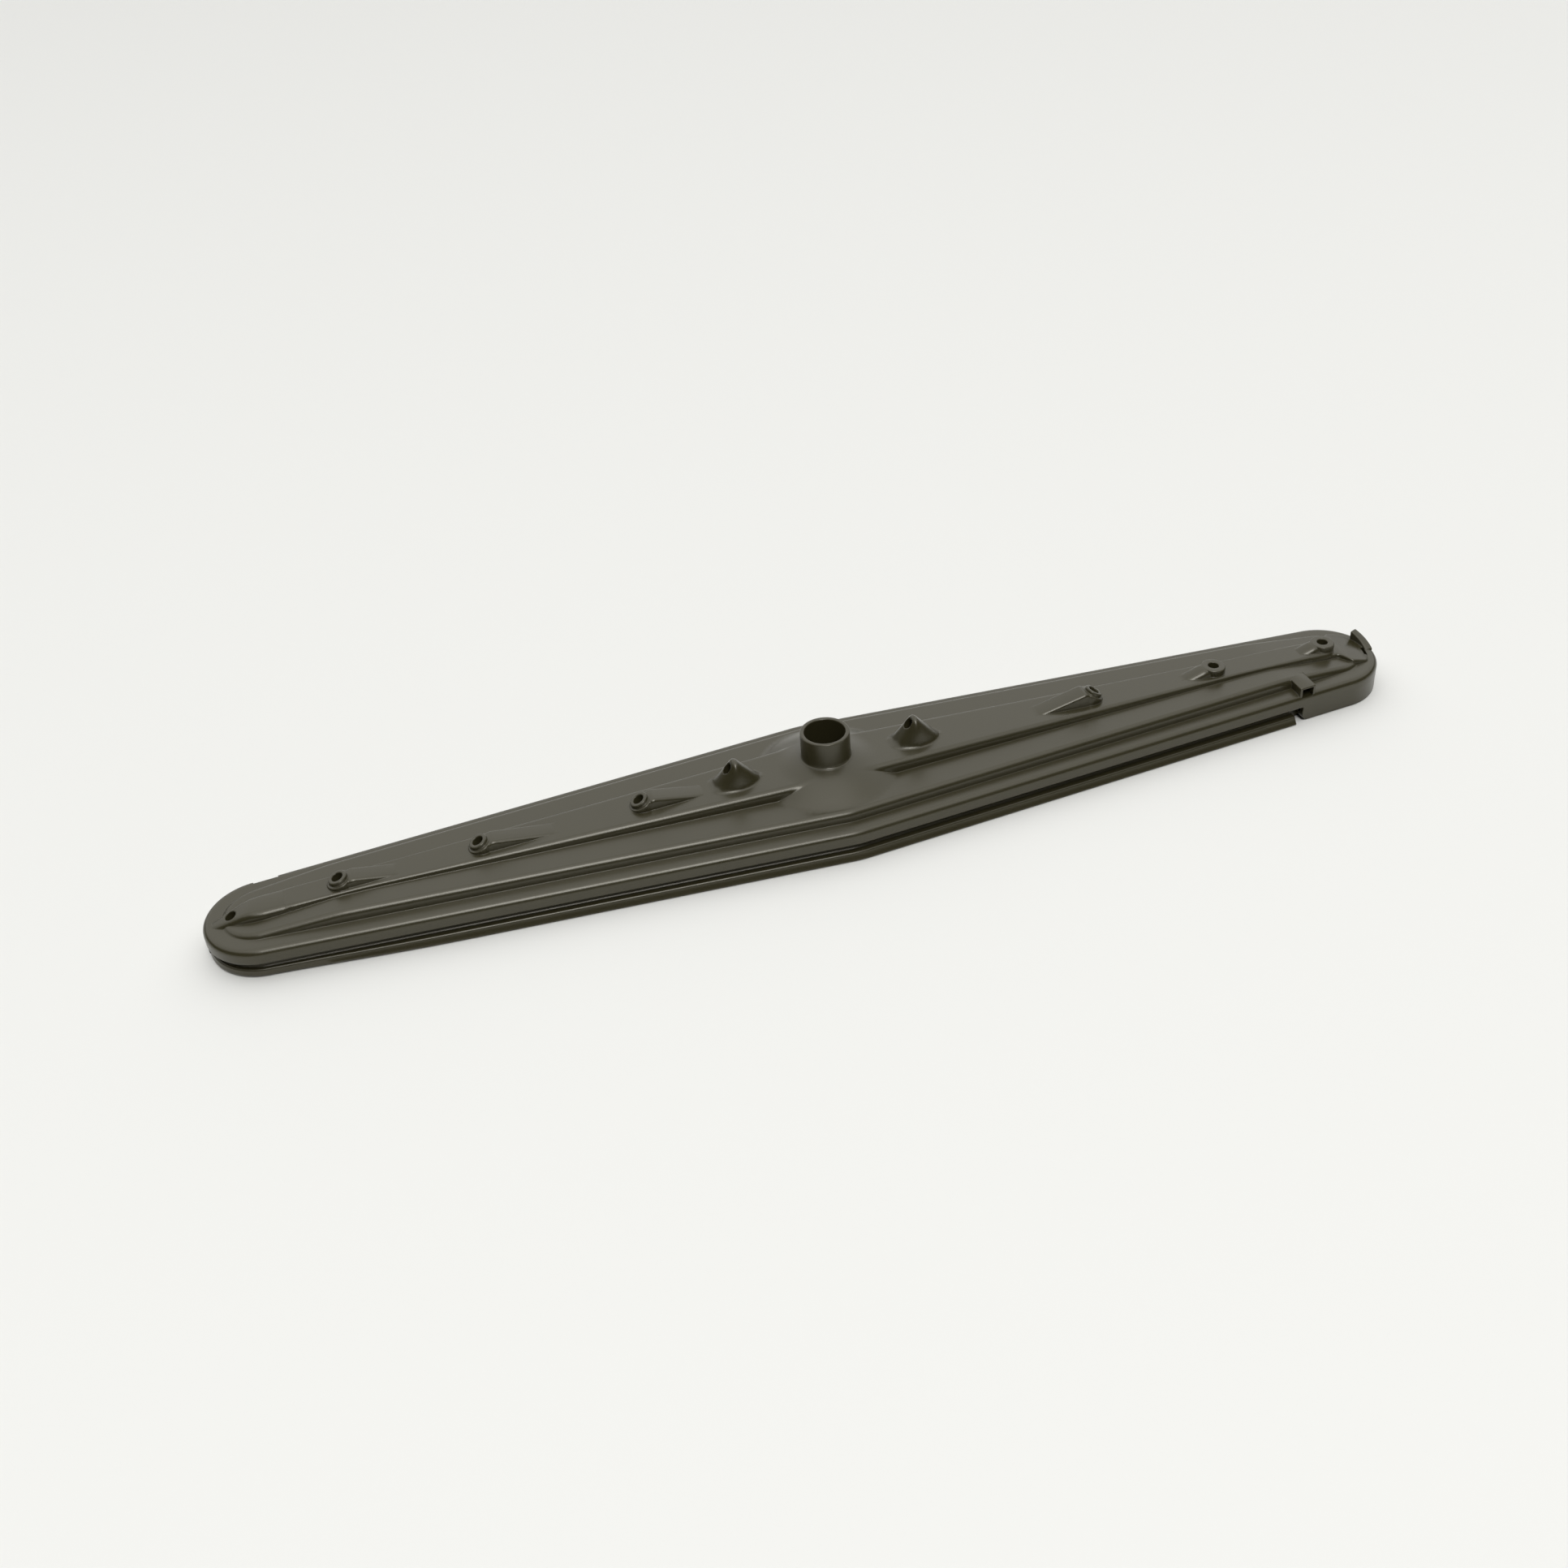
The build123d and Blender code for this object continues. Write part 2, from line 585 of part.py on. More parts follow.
with BuildPart() as lower_shell:
    # Shallow tray with an outer flange
    with BuildSketch():
        add(arm_outline(-FLANGE_OVERHANG))
    extrude(amount=FLANGE_RISE)
    chamfer(lower_shell.faces().sort_by(Axis.Z)[-1].edges(), FLANGE_CHAMFER)
    chamfer(lower_shell.faces().sort_by(Axis.Z)[0].edges(), FOOT_CHAMFER)
    with BuildSketch(Plane.XY.offset(WALL)):
        add(arm_outline(WALL - FLANGE_OVERHANG))
    extrude(amount=FLANGE_RISE, mode=Mode.SUBTRACT)

    # Locked corners: the flange is cut back, and a thick edge leaves room for the toe below it
    for start_x, turn in LOCKS:
        with BuildPart(mode=Mode.PRIVATE) as corner_cut:
            with BuildSketch():
                add(lock_band(start_x, -2 * FLANGE_OVERHANG, WALL + CLEARANCE, CLEARANCE))
            extrude(amount=FLANGE_RISE)
        with BuildPart(mode=Mode.PRIVATE) as corner_edge:
            with BuildSketch():
                add(lock_band(start_x, WALL + CLEARANCE, SEAL_INSET + WALL / 2, CLEARANCE + WALL))
            extrude(amount=FLANGE_RISE)
        with BuildPart(mode=Mode.PRIVATE) as toe_room:
            with BuildSketch():
                add(lock_band(start_x, 0, WALL + TOE_REACH + CLEARANCE, CLEARANCE))
            extrude(amount=TOE_HEIGHT + CLEARANCE)
        add(corner_cut.part.rotate(Axis.Z, turn), mode=Mode.SUBTRACT)
        add(corner_edge.part.rotate(Axis.Z, turn))
        add(toe_room.part.rotate(Axis.Z, turn), mode=Mode.SUBTRACT)

    # Seal wall up to the underside of the rim
    with BuildSketch(Plane.XY.offset(WALL / 2)):
        add(arm_outline(SEAL_INSET))
        add(arm_outline(SEAL_INSET + WALL), mode=Mode.SUBTRACT)
    extrude(amount=FLANGE_UNDERSIDE_Z - WALL / 2)

lower_shell.part.label = "lower_shell"
export_step(lower_shell.part, "parts/lower_shell.step")
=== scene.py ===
"""Dressed scene of a dishwasher spray arm on a pale studio floor.

The moulded upper shell is worked out as numpy surfaces in the frame of the CAD model: X along the arm,
Y across it and Z up, with the origin under the hub. Sizes in the classes are millimetres and angles are
degrees; meshes are written in metres.
"""

import logging
from dataclasses import dataclass
from enum import Enum

import bmesh
import bpy
import numpy as np
from mathutils import Matrix

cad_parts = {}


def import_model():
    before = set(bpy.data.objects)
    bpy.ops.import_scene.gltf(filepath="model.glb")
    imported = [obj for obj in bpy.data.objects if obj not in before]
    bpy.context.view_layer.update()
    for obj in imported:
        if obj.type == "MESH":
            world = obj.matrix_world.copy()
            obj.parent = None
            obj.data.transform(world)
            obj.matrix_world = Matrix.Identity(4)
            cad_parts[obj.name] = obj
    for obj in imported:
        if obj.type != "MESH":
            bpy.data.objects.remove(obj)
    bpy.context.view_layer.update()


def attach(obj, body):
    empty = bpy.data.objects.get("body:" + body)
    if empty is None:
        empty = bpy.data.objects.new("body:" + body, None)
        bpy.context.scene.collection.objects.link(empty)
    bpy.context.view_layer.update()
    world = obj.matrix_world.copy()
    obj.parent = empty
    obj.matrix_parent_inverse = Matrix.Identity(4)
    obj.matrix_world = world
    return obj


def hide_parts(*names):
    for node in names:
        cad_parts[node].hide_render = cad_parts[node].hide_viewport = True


LOG = logging.getLogger("spray_arm")
MM = 0.001
CREASE_ANGLE = 34.0
Array = np.ndarray
Object = bpy.types.Object
Pair = tuple[float, float]

# Origin and axes of the arm itself
UPRIGHT = np.eye(4, 3, -1)


class Blend(Enum):
    """How one solid goes into another."""

    JOIN = "UNION"
    CUT = "DIFFERENCE"


class JetKind(Enum):
    """Forms that a jet's mouth takes."""

    COLLAR = "collar"
    PLAIN = "plain"
    TALL = "tall"
    FLUSH = "flush"


# Curves and surfaces


def smooth_max(first: Array, second: Array, reach: float) -> Array:
    """The higher of two heights, with the crease filled where they differ by less than the reach."""
    near = np.clip(reach - np.abs(first - second), 0.0, None) / reach
    return np.maximum(first, second) + near**2 * reach / 4


def smooth_min(first: Array, second: Array, reach: float) -> Array:
    """The lower of two heights, with the edge between them rounded off."""
    return -smooth_max(-first, -second, reach)


def ease(value: Array, start: float, end: float) -> Array:
    """Smooth step from 0 at start to 1 at end: three times the square less twice the cube."""
    share = np.clip((value - start) / (end - start), 0.0, 1.0)
    return share**2 * (3 - 2 * share)


def eased(ends: Pair, value: Array, start: float, end: float) -> Array:
    """Smooth change from the first end at start to the second at end."""
    return ends[0] + (ends[1] - ends[0]) * ease(value, start, end)


def chain(*parts: Array | list) -> Array:
    """Arrays or lists one after another."""
    return np.concatenate(parts)


def beside(*parts: Array) -> Array:
    """Arrays set side by side, row for row."""
    return np.concatenate(parts, axis=1)


def edge_drop(past: Array, radius: Array, draft: float) -> Array:
    """Fall of a moulded edge below its top level.

    An arc that is tangent to the level turns down to the draft angle, and a straight flank goes on.

    Args:
        past: distance inwards from the line where the arc begins; outwards is below zero.
        radius: radius of the arc.
        draft: angle of the flank from upright.

    Returns:
        Fall at each place, zero on the level.
    """
    turn = np.radians(90.0 - draft)
    out = np.clip(-past, 0.0, None)
    curved = radius - np.sqrt(np.clip(radius**2 - out**2, 0.0, None))
    straight = radius * (1 - np.cos(turn)) + (out - radius * np.sin(turn)) * np.tan(turn)
    return np.where(out < radius * np.sin(turn), curved, straight)


def edge_run(rise: Array, radius: Array, draft: float) -> Array:
    """Distance that a moulded edge takes in plan to fall by some rise: the inverse of edge_drop."""
    turn = np.radians(90.0 - draft)
    curved = radius * (1 - np.cos(turn))
    short = np.sqrt(np.clip(radius**2 - (radius - rise) ** 2, 0.0, None))
    return np.where(rise > curved, radius * np.sin(turn) + (rise - curved) / np.tan(turn), short)


def graded(start: float, end: float, half_span: float, fine: float, coarse: float) -> Array:
    """Places from start to end that lie close together near zero.

    The running sum of one over the wanted step is cut into equal parts.

    Args:
        start: first place.
        end: last place.
        half_span: half the length of the fine stretch.
        fine: step inside the fine stretch.
        coarse: step elsewhere.

    Returns:
        The places, first and last included.
    """
    trial = np.linspace(start, end, 4001)
    step = eased((fine, coarse), np.abs(trial), half_span, half_span + 12.0)
    count = np.cumsum(1.0 / step) * abs(end - start) / 4000
    count -= count[0]
    return np.interp(np.linspace(0.0, count[-1], int(np.ceil(count[-1])) + 1), count, trial)


def unit(angle: Array) -> Array:
    """Rows of two coordinates: directions at some angles in radians."""
    return np.stack([np.cos(angle), np.sin(angle)], axis=-1)


def arc(centre: Pair, radius: float, start: float, end: float, steps: int) -> Array:
    """Points on a circular arc between two angles, as rows of two coordinates."""
    return np.array(centre) + radius * unit(np.radians(np.linspace(start, end, steps + 1)))


def quads(rows: int, columns: int, close_rows: bool, close_columns: bool) -> Array:
    """Faces of a grid whose points are stored row by row.

    Args:
        rows: rows of points.
        columns: points in each row.
        close_rows: joins the last row to the first.
        close_columns: joins the last point of a row to the first.

    Returns:
        Corner numbers of the quads.
    """
    row = np.arange(rows if close_rows else rows - 1)[:, None]
    column = np.arange(columns if close_columns else columns - 1)[None, :]
    next_row, next_column = (row + 1) % rows, (column + 1) % columns
    corners = (
        row * columns + column,
        row * columns + next_column,
        next_row * columns + next_column,
        next_row * columns + column,
    )
    return np.stack(corners, axis=-1).reshape(-1, 4)


def posed(name: str, data: bpy.types.ID, axes: Array = np.eye(3), place: Array = np.zeros(3)) -> Object:
    """Puts an object into the scene.

    Args:
        name: name of the object.
        data: the mesh, lamp or camera that it shows.
        axes: directions of its own three axes.
        place: where it stands, in metres.

    Returns:
        The new object.
    """
    pose = np.eye(4)
    pose[:3] = np.stack([*axes, place], axis=1)
    made = bpy.data.objects.new(name, data)
    made.matrix_world = Matrix(pose.tolist())
    bpy.context.scene.collection.objects.link(made)
    return made


def solid(name: str, points: Array, faces: Array, caps: tuple[Array, ...] = ()) -> Object:
    """Object at the origin with a closed mesh: equal points are merged and faces turned outwards.

    Args:
        name: name of the object.
        points: places in mm, any shape that ends in three coordinates.
        faces: corner numbers of the quads.
        caps: corner numbers of larger end faces.

    Returns:
        The new object, linked to the scene.
    """
    mesh = bpy.data.meshes.new(name)
    corners = faces.tolist() + [cap.tolist() for cap in caps]
    mesh.from_pydata((points.reshape(-1, 3) * MM).tolist(), [], corners)
    shape = bmesh.new()
    shape.from_mesh(mesh)
    bmesh.ops.remove_doubles(shape, verts=shape.verts, dist=1e-7)
    bmesh.ops.dissolve_degenerate(shape, edges=shape.edges, dist=1e-7)
    bmesh.ops.recalc_face_normals(shape, faces=shape.faces)
    shape.to_mesh(mesh)
    shape.free()
    return posed(name, mesh)


def lofted(name: str, sections: Array) -> Object:
    """Solid through a row of closed sections with equal numbers of points, with flat ends."""
    count, size = sections.shape[:2]
    caps = (np.arange(size)[::-1], np.arange(size) + (count - 1) * size)
    return solid(name, sections, quads(count, size, False, True), caps)


def mirrored(name: str, x: Array, y: Array, z: Array) -> Object:
    """Closed solid from rows of half sections: over the rear side, and the same in front."""
    rear = np.stack([x, y, z], axis=-1)
    front = np.stack([x, -y, z], axis=-1)[:, -2:0:-1]
    points = beside(rear, front)
    return solid(name, points, quads(*points.shape[:2], False, True))


def turned(name: str, profile: Array, frame: Array, steps: int = 64) -> Object:
    """Solid of revolution: each profile point goes round the third axis of a frame.

    Args:
        name: name of the object.
        profile: radius and height of each point, from axis to axis.
        frame: rows of origin, first, second and third axis.
        steps: points round the circle.

    Returns:
        The closed object.
    """
    angle = np.linspace(0.0, 2 * np.pi, steps, endpoint=False)[:, None, None]
    radius, height = profile[None, :, 0, None], profile[None, :, 1, None]
    around = np.cos(angle) * frame[1] + np.sin(angle) * frame[2]
    points = frame[0] + radius * around + height * frame[3]
    return solid(name, points, quads(steps, len(profile), True, False))


def loaf(name: str, x: Array, top: Array, half: Array, root: Array, radius: float, draft: float) -> Object:
    """Solid that lies along the arm: level across its top, with rounded edges and drafted sides.

    At every station an arc turns from the level top to the draft angle, and a straight side goes on
    to the root. The arc is tangent to both, so the sides would meet the top at the half-width.

    Args:
        name: name of the object.
        x: stations along the arm.
        top: height of the top at each station.
        half: half-width of the top at each station.
        root: height of the underside at each station.
        radius: radius of the two upper edges, less where the top is narrow.
        draft: angle of the sides from upright.

    Returns:
        The closed object.
    """
    turn = np.radians(90.0 - draft)
    corner = np.minimum(radius, 0.95 * half / np.tan(turn / 2))[:, None]
    angle = np.linspace(0.0, turn, 8)
    side_y = half[:, None] - corner * np.tan(turn / 2) + corner * np.sin(angle)
    side_z = top[:, None] - corner * (1 - np.cos(angle))
    foot_y = side_y[:, -1:] + (side_z[:, -1:] - root[:, None]) / np.tan(turn)
    y = beside(side_y, foot_y)
    z = beside(side_z, root[:, None])
    y, z = beside(y, -y[:, ::-1]), beside(z, z[:, ::-1])
    return lofted(name, np.stack([np.broadcast_to(x[:, None], y.shape), y, z], axis=-1))


def wall(name: str, sides: list[Array], low: float, high: Array | float) -> Object:
    """Upright wall between two lines in plan.

    Args:
        name: name of the object.
        sides: X and Y of the stations, on its one side and on the other.
        low: height of its underside.
        high: height of its top, for all the stations or for each.

    Returns:
        The closed object.
    """
    plan = np.stack([sides[side] for side in (0, 1, 1, 0)], axis=1)
    level = np.full((*plan.shape[:2], 1), low)
    level[:, 2:, 0] = np.reshape(high, (-1, 1))
    return lofted(name, np.concatenate([plan, level], axis=-1))


def rounded(piece: Object, width: float) -> Object:
    """Rounds a solid's sharp edges.

    Args:
        piece: the solid.
        width: how far the rounding reaches from an edge.

    Returns:
        The same object.
    """
    step = piece.modifiers.new("round_edges", "BEVEL")
    step.width = width * MM
    step.segments = 3
    step.limit_method = "ANGLE"
    step.angle_limit = np.radians(40.0)
    return piece


def combine(base: Object, tools: list[tuple[Object, Blend]]) -> None:
    """Joins solids to a base or cuts them out of it, in order, and removes them.

    Args:
        base: object that takes up the others.
        tools: the solids, each with how it goes in.
    """
    for tool, way in tools:
        step = base.modifiers.new(tool.name, "BOOLEAN")
        step.operation = way.value
        step.solver = "MANIFOLD"
        step.object = tool
    graph = bpy.context.evaluated_depsgraph_get()
    made = bpy.data.meshes.new_from_object(base.evaluated_get(graph))
    base.modifiers.clear()
    plain = base.data
    base.data = made
    bpy.data.meshes.remove(plain)
    made.name = base.name
    for tool, _ in tools:
        bpy.data.meshes.remove(tool.data)


def shade(piece: Object) -> None:
    """Smooth shading, with edges sharp where faces meet at more than the crease angle."""
    piece.data.shade_smooth()
    piece.data.set_sharp_from_angle(angle=np.radians(CREASE_ANGLE))


# The arm


@dataclass(frozen=True)
class Rows:
    """Lines in plan that run square to the rear half of the outline, from it to the arm's middle."""

    foot: Array
    normal: Array
    reach: Array

    def plan(self, inset: Array) -> Array:
        """X and Y of the places on every row at some insets from the outline."""
        return self.foot.T[..., None] - inset * self.normal.T[..., None]


@dataclass(frozen=True)
class Outline:
    """Plan outline of the rim: two tip arcs joined to two waist arcs by straight sides."""

    length: float = 470.0
    tip_radius: float = 20.9
    hub_width: float = 74.2
    waist_radius: float = 40.0

    @property
    def tip_x(self) -> float:
        """Distance of a tip's centre from the hub."""
        return self.length / 2 - self.tip_radius

    @property
    def waist_y(self) -> float:
        """Place across the arm of the rear waist arc's centre."""
        return self.hub_width / 2 - self.waist_radius

    @property
    def side_angle(self) -> float:
        """Angle of the rear right side's outward normal, in radians."""
        run = np.hypot(self.tip_x, self.waist_y)
        spread = np.arccos((self.waist_radius - self.tip_radius) / run)
        return float(spread - np.arctan2(self.waist_y, self.tip_x))

    def side_y(self, x: Array, inset: float) -> Array:
        """Place across the arm of the rear straight sides, moved in by some inset."""
        across, along = np.cos(self.side_angle), np.sin(self.side_angle)
        return (self.waist_radius + self.waist_y * along - inset - np.abs(x) * across) / along

    def inset(self, x: Array, y: Array) -> Array:
        """Distance of places inside the outline.

        Beyond the ends of a straight side it is measured from the tip arc or the waist arc.

        Args:
            x: places along the arm.
            y: places across it.

        Returns:
            Distances to the nearest part of the outline.
        """
        across, along = np.cos(self.side_angle), np.sin(self.side_angle)
        far, off = np.abs(x), np.abs(y)
        run = far * along - off * across
        tip = self.tip_radius - np.hypot(far - self.tip_x, off)
        waist = self.waist_radius - np.hypot(far, off - self.waist_y)
        side = self.waist_radius + self.waist_y * along - far * across - off * along
        inner = np.where(run < -self.waist_y * across, waist, side)
        return np.where(run > self.tip_x * along, tip, inner)

    def rows(self, fine_span: float, row_steps: Pair, arc_steps: tuple[int, int]) -> Rows:
        """Rows from the left end round the rear side to the right end.

        Args:
            fine_span: half the length over which the rows lie close together.
            row_steps: fine and coarse step between rows, where they meet the arm's middle line.
            arc_steps: steps round each tip arc and round the waist arc.

        Returns:
            The rows; those of a tip all end at its centre.
        """
        side = self.side_angle
        places = graded(-self.tip_x, self.tip_x, fine_span, *row_steps)[1:-1]
        waist_end = -self.waist_y / np.tan(side)
        left = np.sort(-places[places < -waist_end])[::-1]
        right = np.sort(places[places > waist_end])
        tip = np.linspace(0.0, side, arc_steps[0] + 1)
        waist = np.linspace(np.pi - side, side, arc_steps[1] + 1)
        angle = chain(np.pi - tip, 0 * left + np.pi - side, waist, 0 * right + side, tip[::-1])
        ends = np.ones_like(tip)
        middle = chain(-self.tip_x * ends, -left, -self.waist_y / np.tan(waist), right, self.tip_x * ends)
        straight = self.waist_radius + self.waist_y * np.sin(side)
        reach = chain(
            self.tip_radius * ends,
            straight - left * np.cos(side),
            (self.waist_y + self.waist_radius * np.sin(waist)) / np.sin(waist),
            straight - right * np.cos(side),
            self.tip_radius * ends,
        )
        normal = unit(angle)
        foot = np.stack([middle, np.zeros_like(middle)], axis=1) + reach[:, None] * normal
        return Rows(foot, normal, reach)

    def band(self, name: str, start_x: float, profile: Array, corner: float, rear_left: bool) -> Object:
        """Profile carried along the front right edge from a place on it round to the tip.

        Over the first stretch the profile's foot is lifted along a quarter circle.

        Args:
            name: name of the object.
            start_x: place along the arm where the band starts, on the outline.
            profile: inset and height of each corner.
            corner: radius of the rounded lower corner at the start.
            rear_left: turns the band half round, to the opposite corner.

        Returns:
            The closed object.
        """
        side = self.side_angle
        turn = np.linspace(side, 0.0, 49)
        centre = np.array([self.tip_x, 0.0])
        end = centre + self.tip_radius * unit(side)
        along = np.array([np.sin(side), -np.cos(side)])
        start = end - along * (end[0] - start_x) / along[0]
        run = np.linspace(0.0, 1.0, 41)[:-1, None] ** 1.6
        straight = start + run * (end - start)
        round_tip = centre + self.tip_radius * unit(turn)
        foot = chain(straight, round_tip)
        angle = chain(np.full(len(straight), side), turn)
        normal = unit(angle)
        plan = foot[:, None, :] - profile[None, :, :1] * normal[:, None, :]
        short = np.clip(corner - np.hypot(*(foot - start).T), 0.0, None)
        lift = corner - np.sqrt(corner**2 - short**2)
        level = profile[None, :, 1] + lift[:, None] * (1 - profile[None, :, 1] / profile[:, 1].max())
        sign = -1.0 if rear_left else 1.0
        return lofted(name, np.stack([sign * plan[..., 0], -sign * plan[..., 1], level], axis=-1))

    def bands(self, name: str, starts: Pair, profile: Array, corners: Pair) -> list[Object]:
        """Bands at both locked corners: front right, then rear left."""
        return [
            self.band(f"{name}_front", starts[0], profile, corners[0], False),
            self.band(f"{name}_rear", starts[1], profile, corners[1], True),
        ]

    def edge_block(self, name: str, x: Pair, insets: Pair, z: Pair, side: int) -> Object:
        """Block along a straight side of the arm, at the rear (side 1) or in front (side -1)."""
        lines = [np.stack([x, side * self.side_y(np.array(x), inset)], axis=1) for inset in insets]
        return wall(name, lines, *z)

    def tip_wall(self, name: str, radii: Pair, angles: Array, low: float, high: Array | float) -> Object:
        """Upright wall on an arc about the right tip's centre, with stations at some angles."""
        lines = [np.array([self.tip_x, 0.0]) + radius * unit(np.radians(angles)) for radius in radii]
        return wall(name, lines, low, high)


@dataclass(frozen=True)
class Jet:
    """A water jet: where its mouth is, which way it leans and what carries it."""

    name: str
    x: float
    rise: float
    lean: float
    kind: JetKind
    ridge: float = 0.0

    bore: float = 2.1
    flare: float = 0.3
    collar: float = 3.6
    collar_step: float = 1.4
    collar_fillet: float = 0.25
    boss: float = 4.8
    edge: float = 0.45
    ridge_half: float = 3.8
    ridge_edge: float = 1.4
    ridge_draft: float = 10.0
    ridge_sink: float = 0.3
    tall_reach: Pair = (8.2, 12.5)
    tall_slopes: Pair = (1.15, 1.1)
    tall_half: float = 6.3
    tall_power: float = 2.6
    tall_round: float = 2.4
    root: float = 1.4

    @property
    def step(self) -> float:
        """Depth of the shoulder round the mouth."""
        return self.collar_step if self.kind is JetKind.COLLAR else 0.0

    def frame(self, level: float) -> Array:
        """Origin and axes at the mouth.

        Args:
            level: height of the channel under the mouth.

        Returns:
            Rows of origin, two axes in the mouth's plane, and the way that the water leaves.
        """
        tilt = np.radians(self.lean)
        return np.array(
            [
                [self.x, 0.0, level + self.rise],
                [np.cos(tilt), 0.0, -np.sin(tilt)],
                [0.0, 1.0, 0.0],
                [np.sin(tilt), 0.0, np.cos(tilt)],
            ]
        )

    def depth(self, radius: float) -> float:
        """Length along the leaning axis that takes a circle of some radius under the channel's top."""
        tilt = np.radians(abs(self.lean))
        return float((self.rise + self.root) / np.cos(tilt) + radius * np.tan(tilt))

    def boss_body(self, level: float) -> Object:
        """Round boss on the leaning axis, with a stepped collar round the mouth if the jet has one.

        Args:
            level: height of the channel under the mouth.

        Returns:
            The closed object.
        """
        bottom = -self.depth(self.boss)
        edge, step = self.edge, self.step
        parts = [[[0.0, 0.0]]]
        if step > 0:
            parts.append(arc((self.collar - edge, -edge), edge, 90.0, 0.0, 5))
            fillet = self.collar_fillet
            parts.append(arc((self.collar + fillet, -step + fillet), fillet, 180.0, 270.0, 4))
        parts.append(arc((self.boss - edge, -step - edge), edge, 90.0, 0.0, 5))
        parts.append([[self.boss, bottom], [0.0, bottom]])
        return turned(self.name, chain(*parts), self.frame(level))

    def feed_ridge(self, level: float, tail_level: float) -> Object:
        """Wedge that feeds the boss from the hub's side.

        Its top is the lower of the boss's shoulder plane and a straight line that falls from the
        shoulder's hub-side edge to just under the channel at the tail.

        Args:
            level: height of the channel under the mouth.
            tail_level: height of the channel at the ridge's tail.

        Returns:
            The closed object.
        """
        inward = -1.0 if self.x > 0 else 1.0
        frame = self.frame(level)
        shoulder = frame[0] - self.step * frame[3]
        high = shoulder + inward * self.boss * frame[1]
        tail = self.x + inward * self.ridge
        x = np.linspace(shoulder[0], tail, 49)
        plane = shoulder[2] + (x - shoulder[0]) * frame[1][2] / frame[1][0]
        line = high[2] + (tail_level - self.ridge_sink - high[2]) * (x - high[0]) / (tail - high[0])
        top = smooth_min(plane, line, 0.5)
        channel = level + (tail_level - level) * (x - self.x) / (tail - self.x)
        half = np.full_like(x, self.ridge_half)
        root = channel - self.root
        return loaf(f"{self.name}_ridge", x, top, half, root, self.ridge_edge, self.ridge_draft)

    def dome(self, x: Array, y: Array) -> Array:
        """Height of a tall jet over the channel.

        Along the middle it is the lower of two slopes that round into each other: the face with the
        mouth in it, and the back. Its base is an oval between the two feet, and every section across
        is a rounded hump as wide as that oval.

        Args:
            x: places along the arm.
            y: places across it.

        Returns:
            Heights over the channel, below zero away from the jet.
        """
        run = x - self.x
        face = self.rise + self.tall_slopes[0] * run
        back = self.tall_slopes[1] * (self.tall_reach[1] - run)
        middle = smooth_min(face, back, self.tall_round)
        centre = (self.tall_reach[1] - self.tall_reach[0]) / 2
        reach = sum(self.tall_reach) / 2
        half = self.tall_half * np.sqrt(np.clip(1 - ((run - centre) / reach) ** 2, 0.02, None))
        share = 1 - (np.abs(y) / half) ** self.tall_power
        inside = np.where(middle > 0, middle * share, middle)
        return np.where(share > 0, inside, np.minimum(middle, 0.0) + 4.0 * share)

    def water_way(self, level: float, down_to: float) -> Object:
        """Cutter for the bore, with a flared mouth.

        Args:
            level: height of the channel under the mouth.
            down_to: height at which the bore ends.

        Returns:
            The closed object.
        """
        wide = self.bore + self.flare
        past = 1.0
        mouth = arc((wide, -self.flare), self.flare, 90.0, 180.0, 4)
        bottom = -(level + self.rise - down_to) / np.cos(np.radians(self.lean))
        profile = chain([[0.0, past], [wide, past]], mouth, [[self.bore, bottom], [0.0, bottom]])
        return turned(f"{self.name}_bore", profile, self.frame(level))


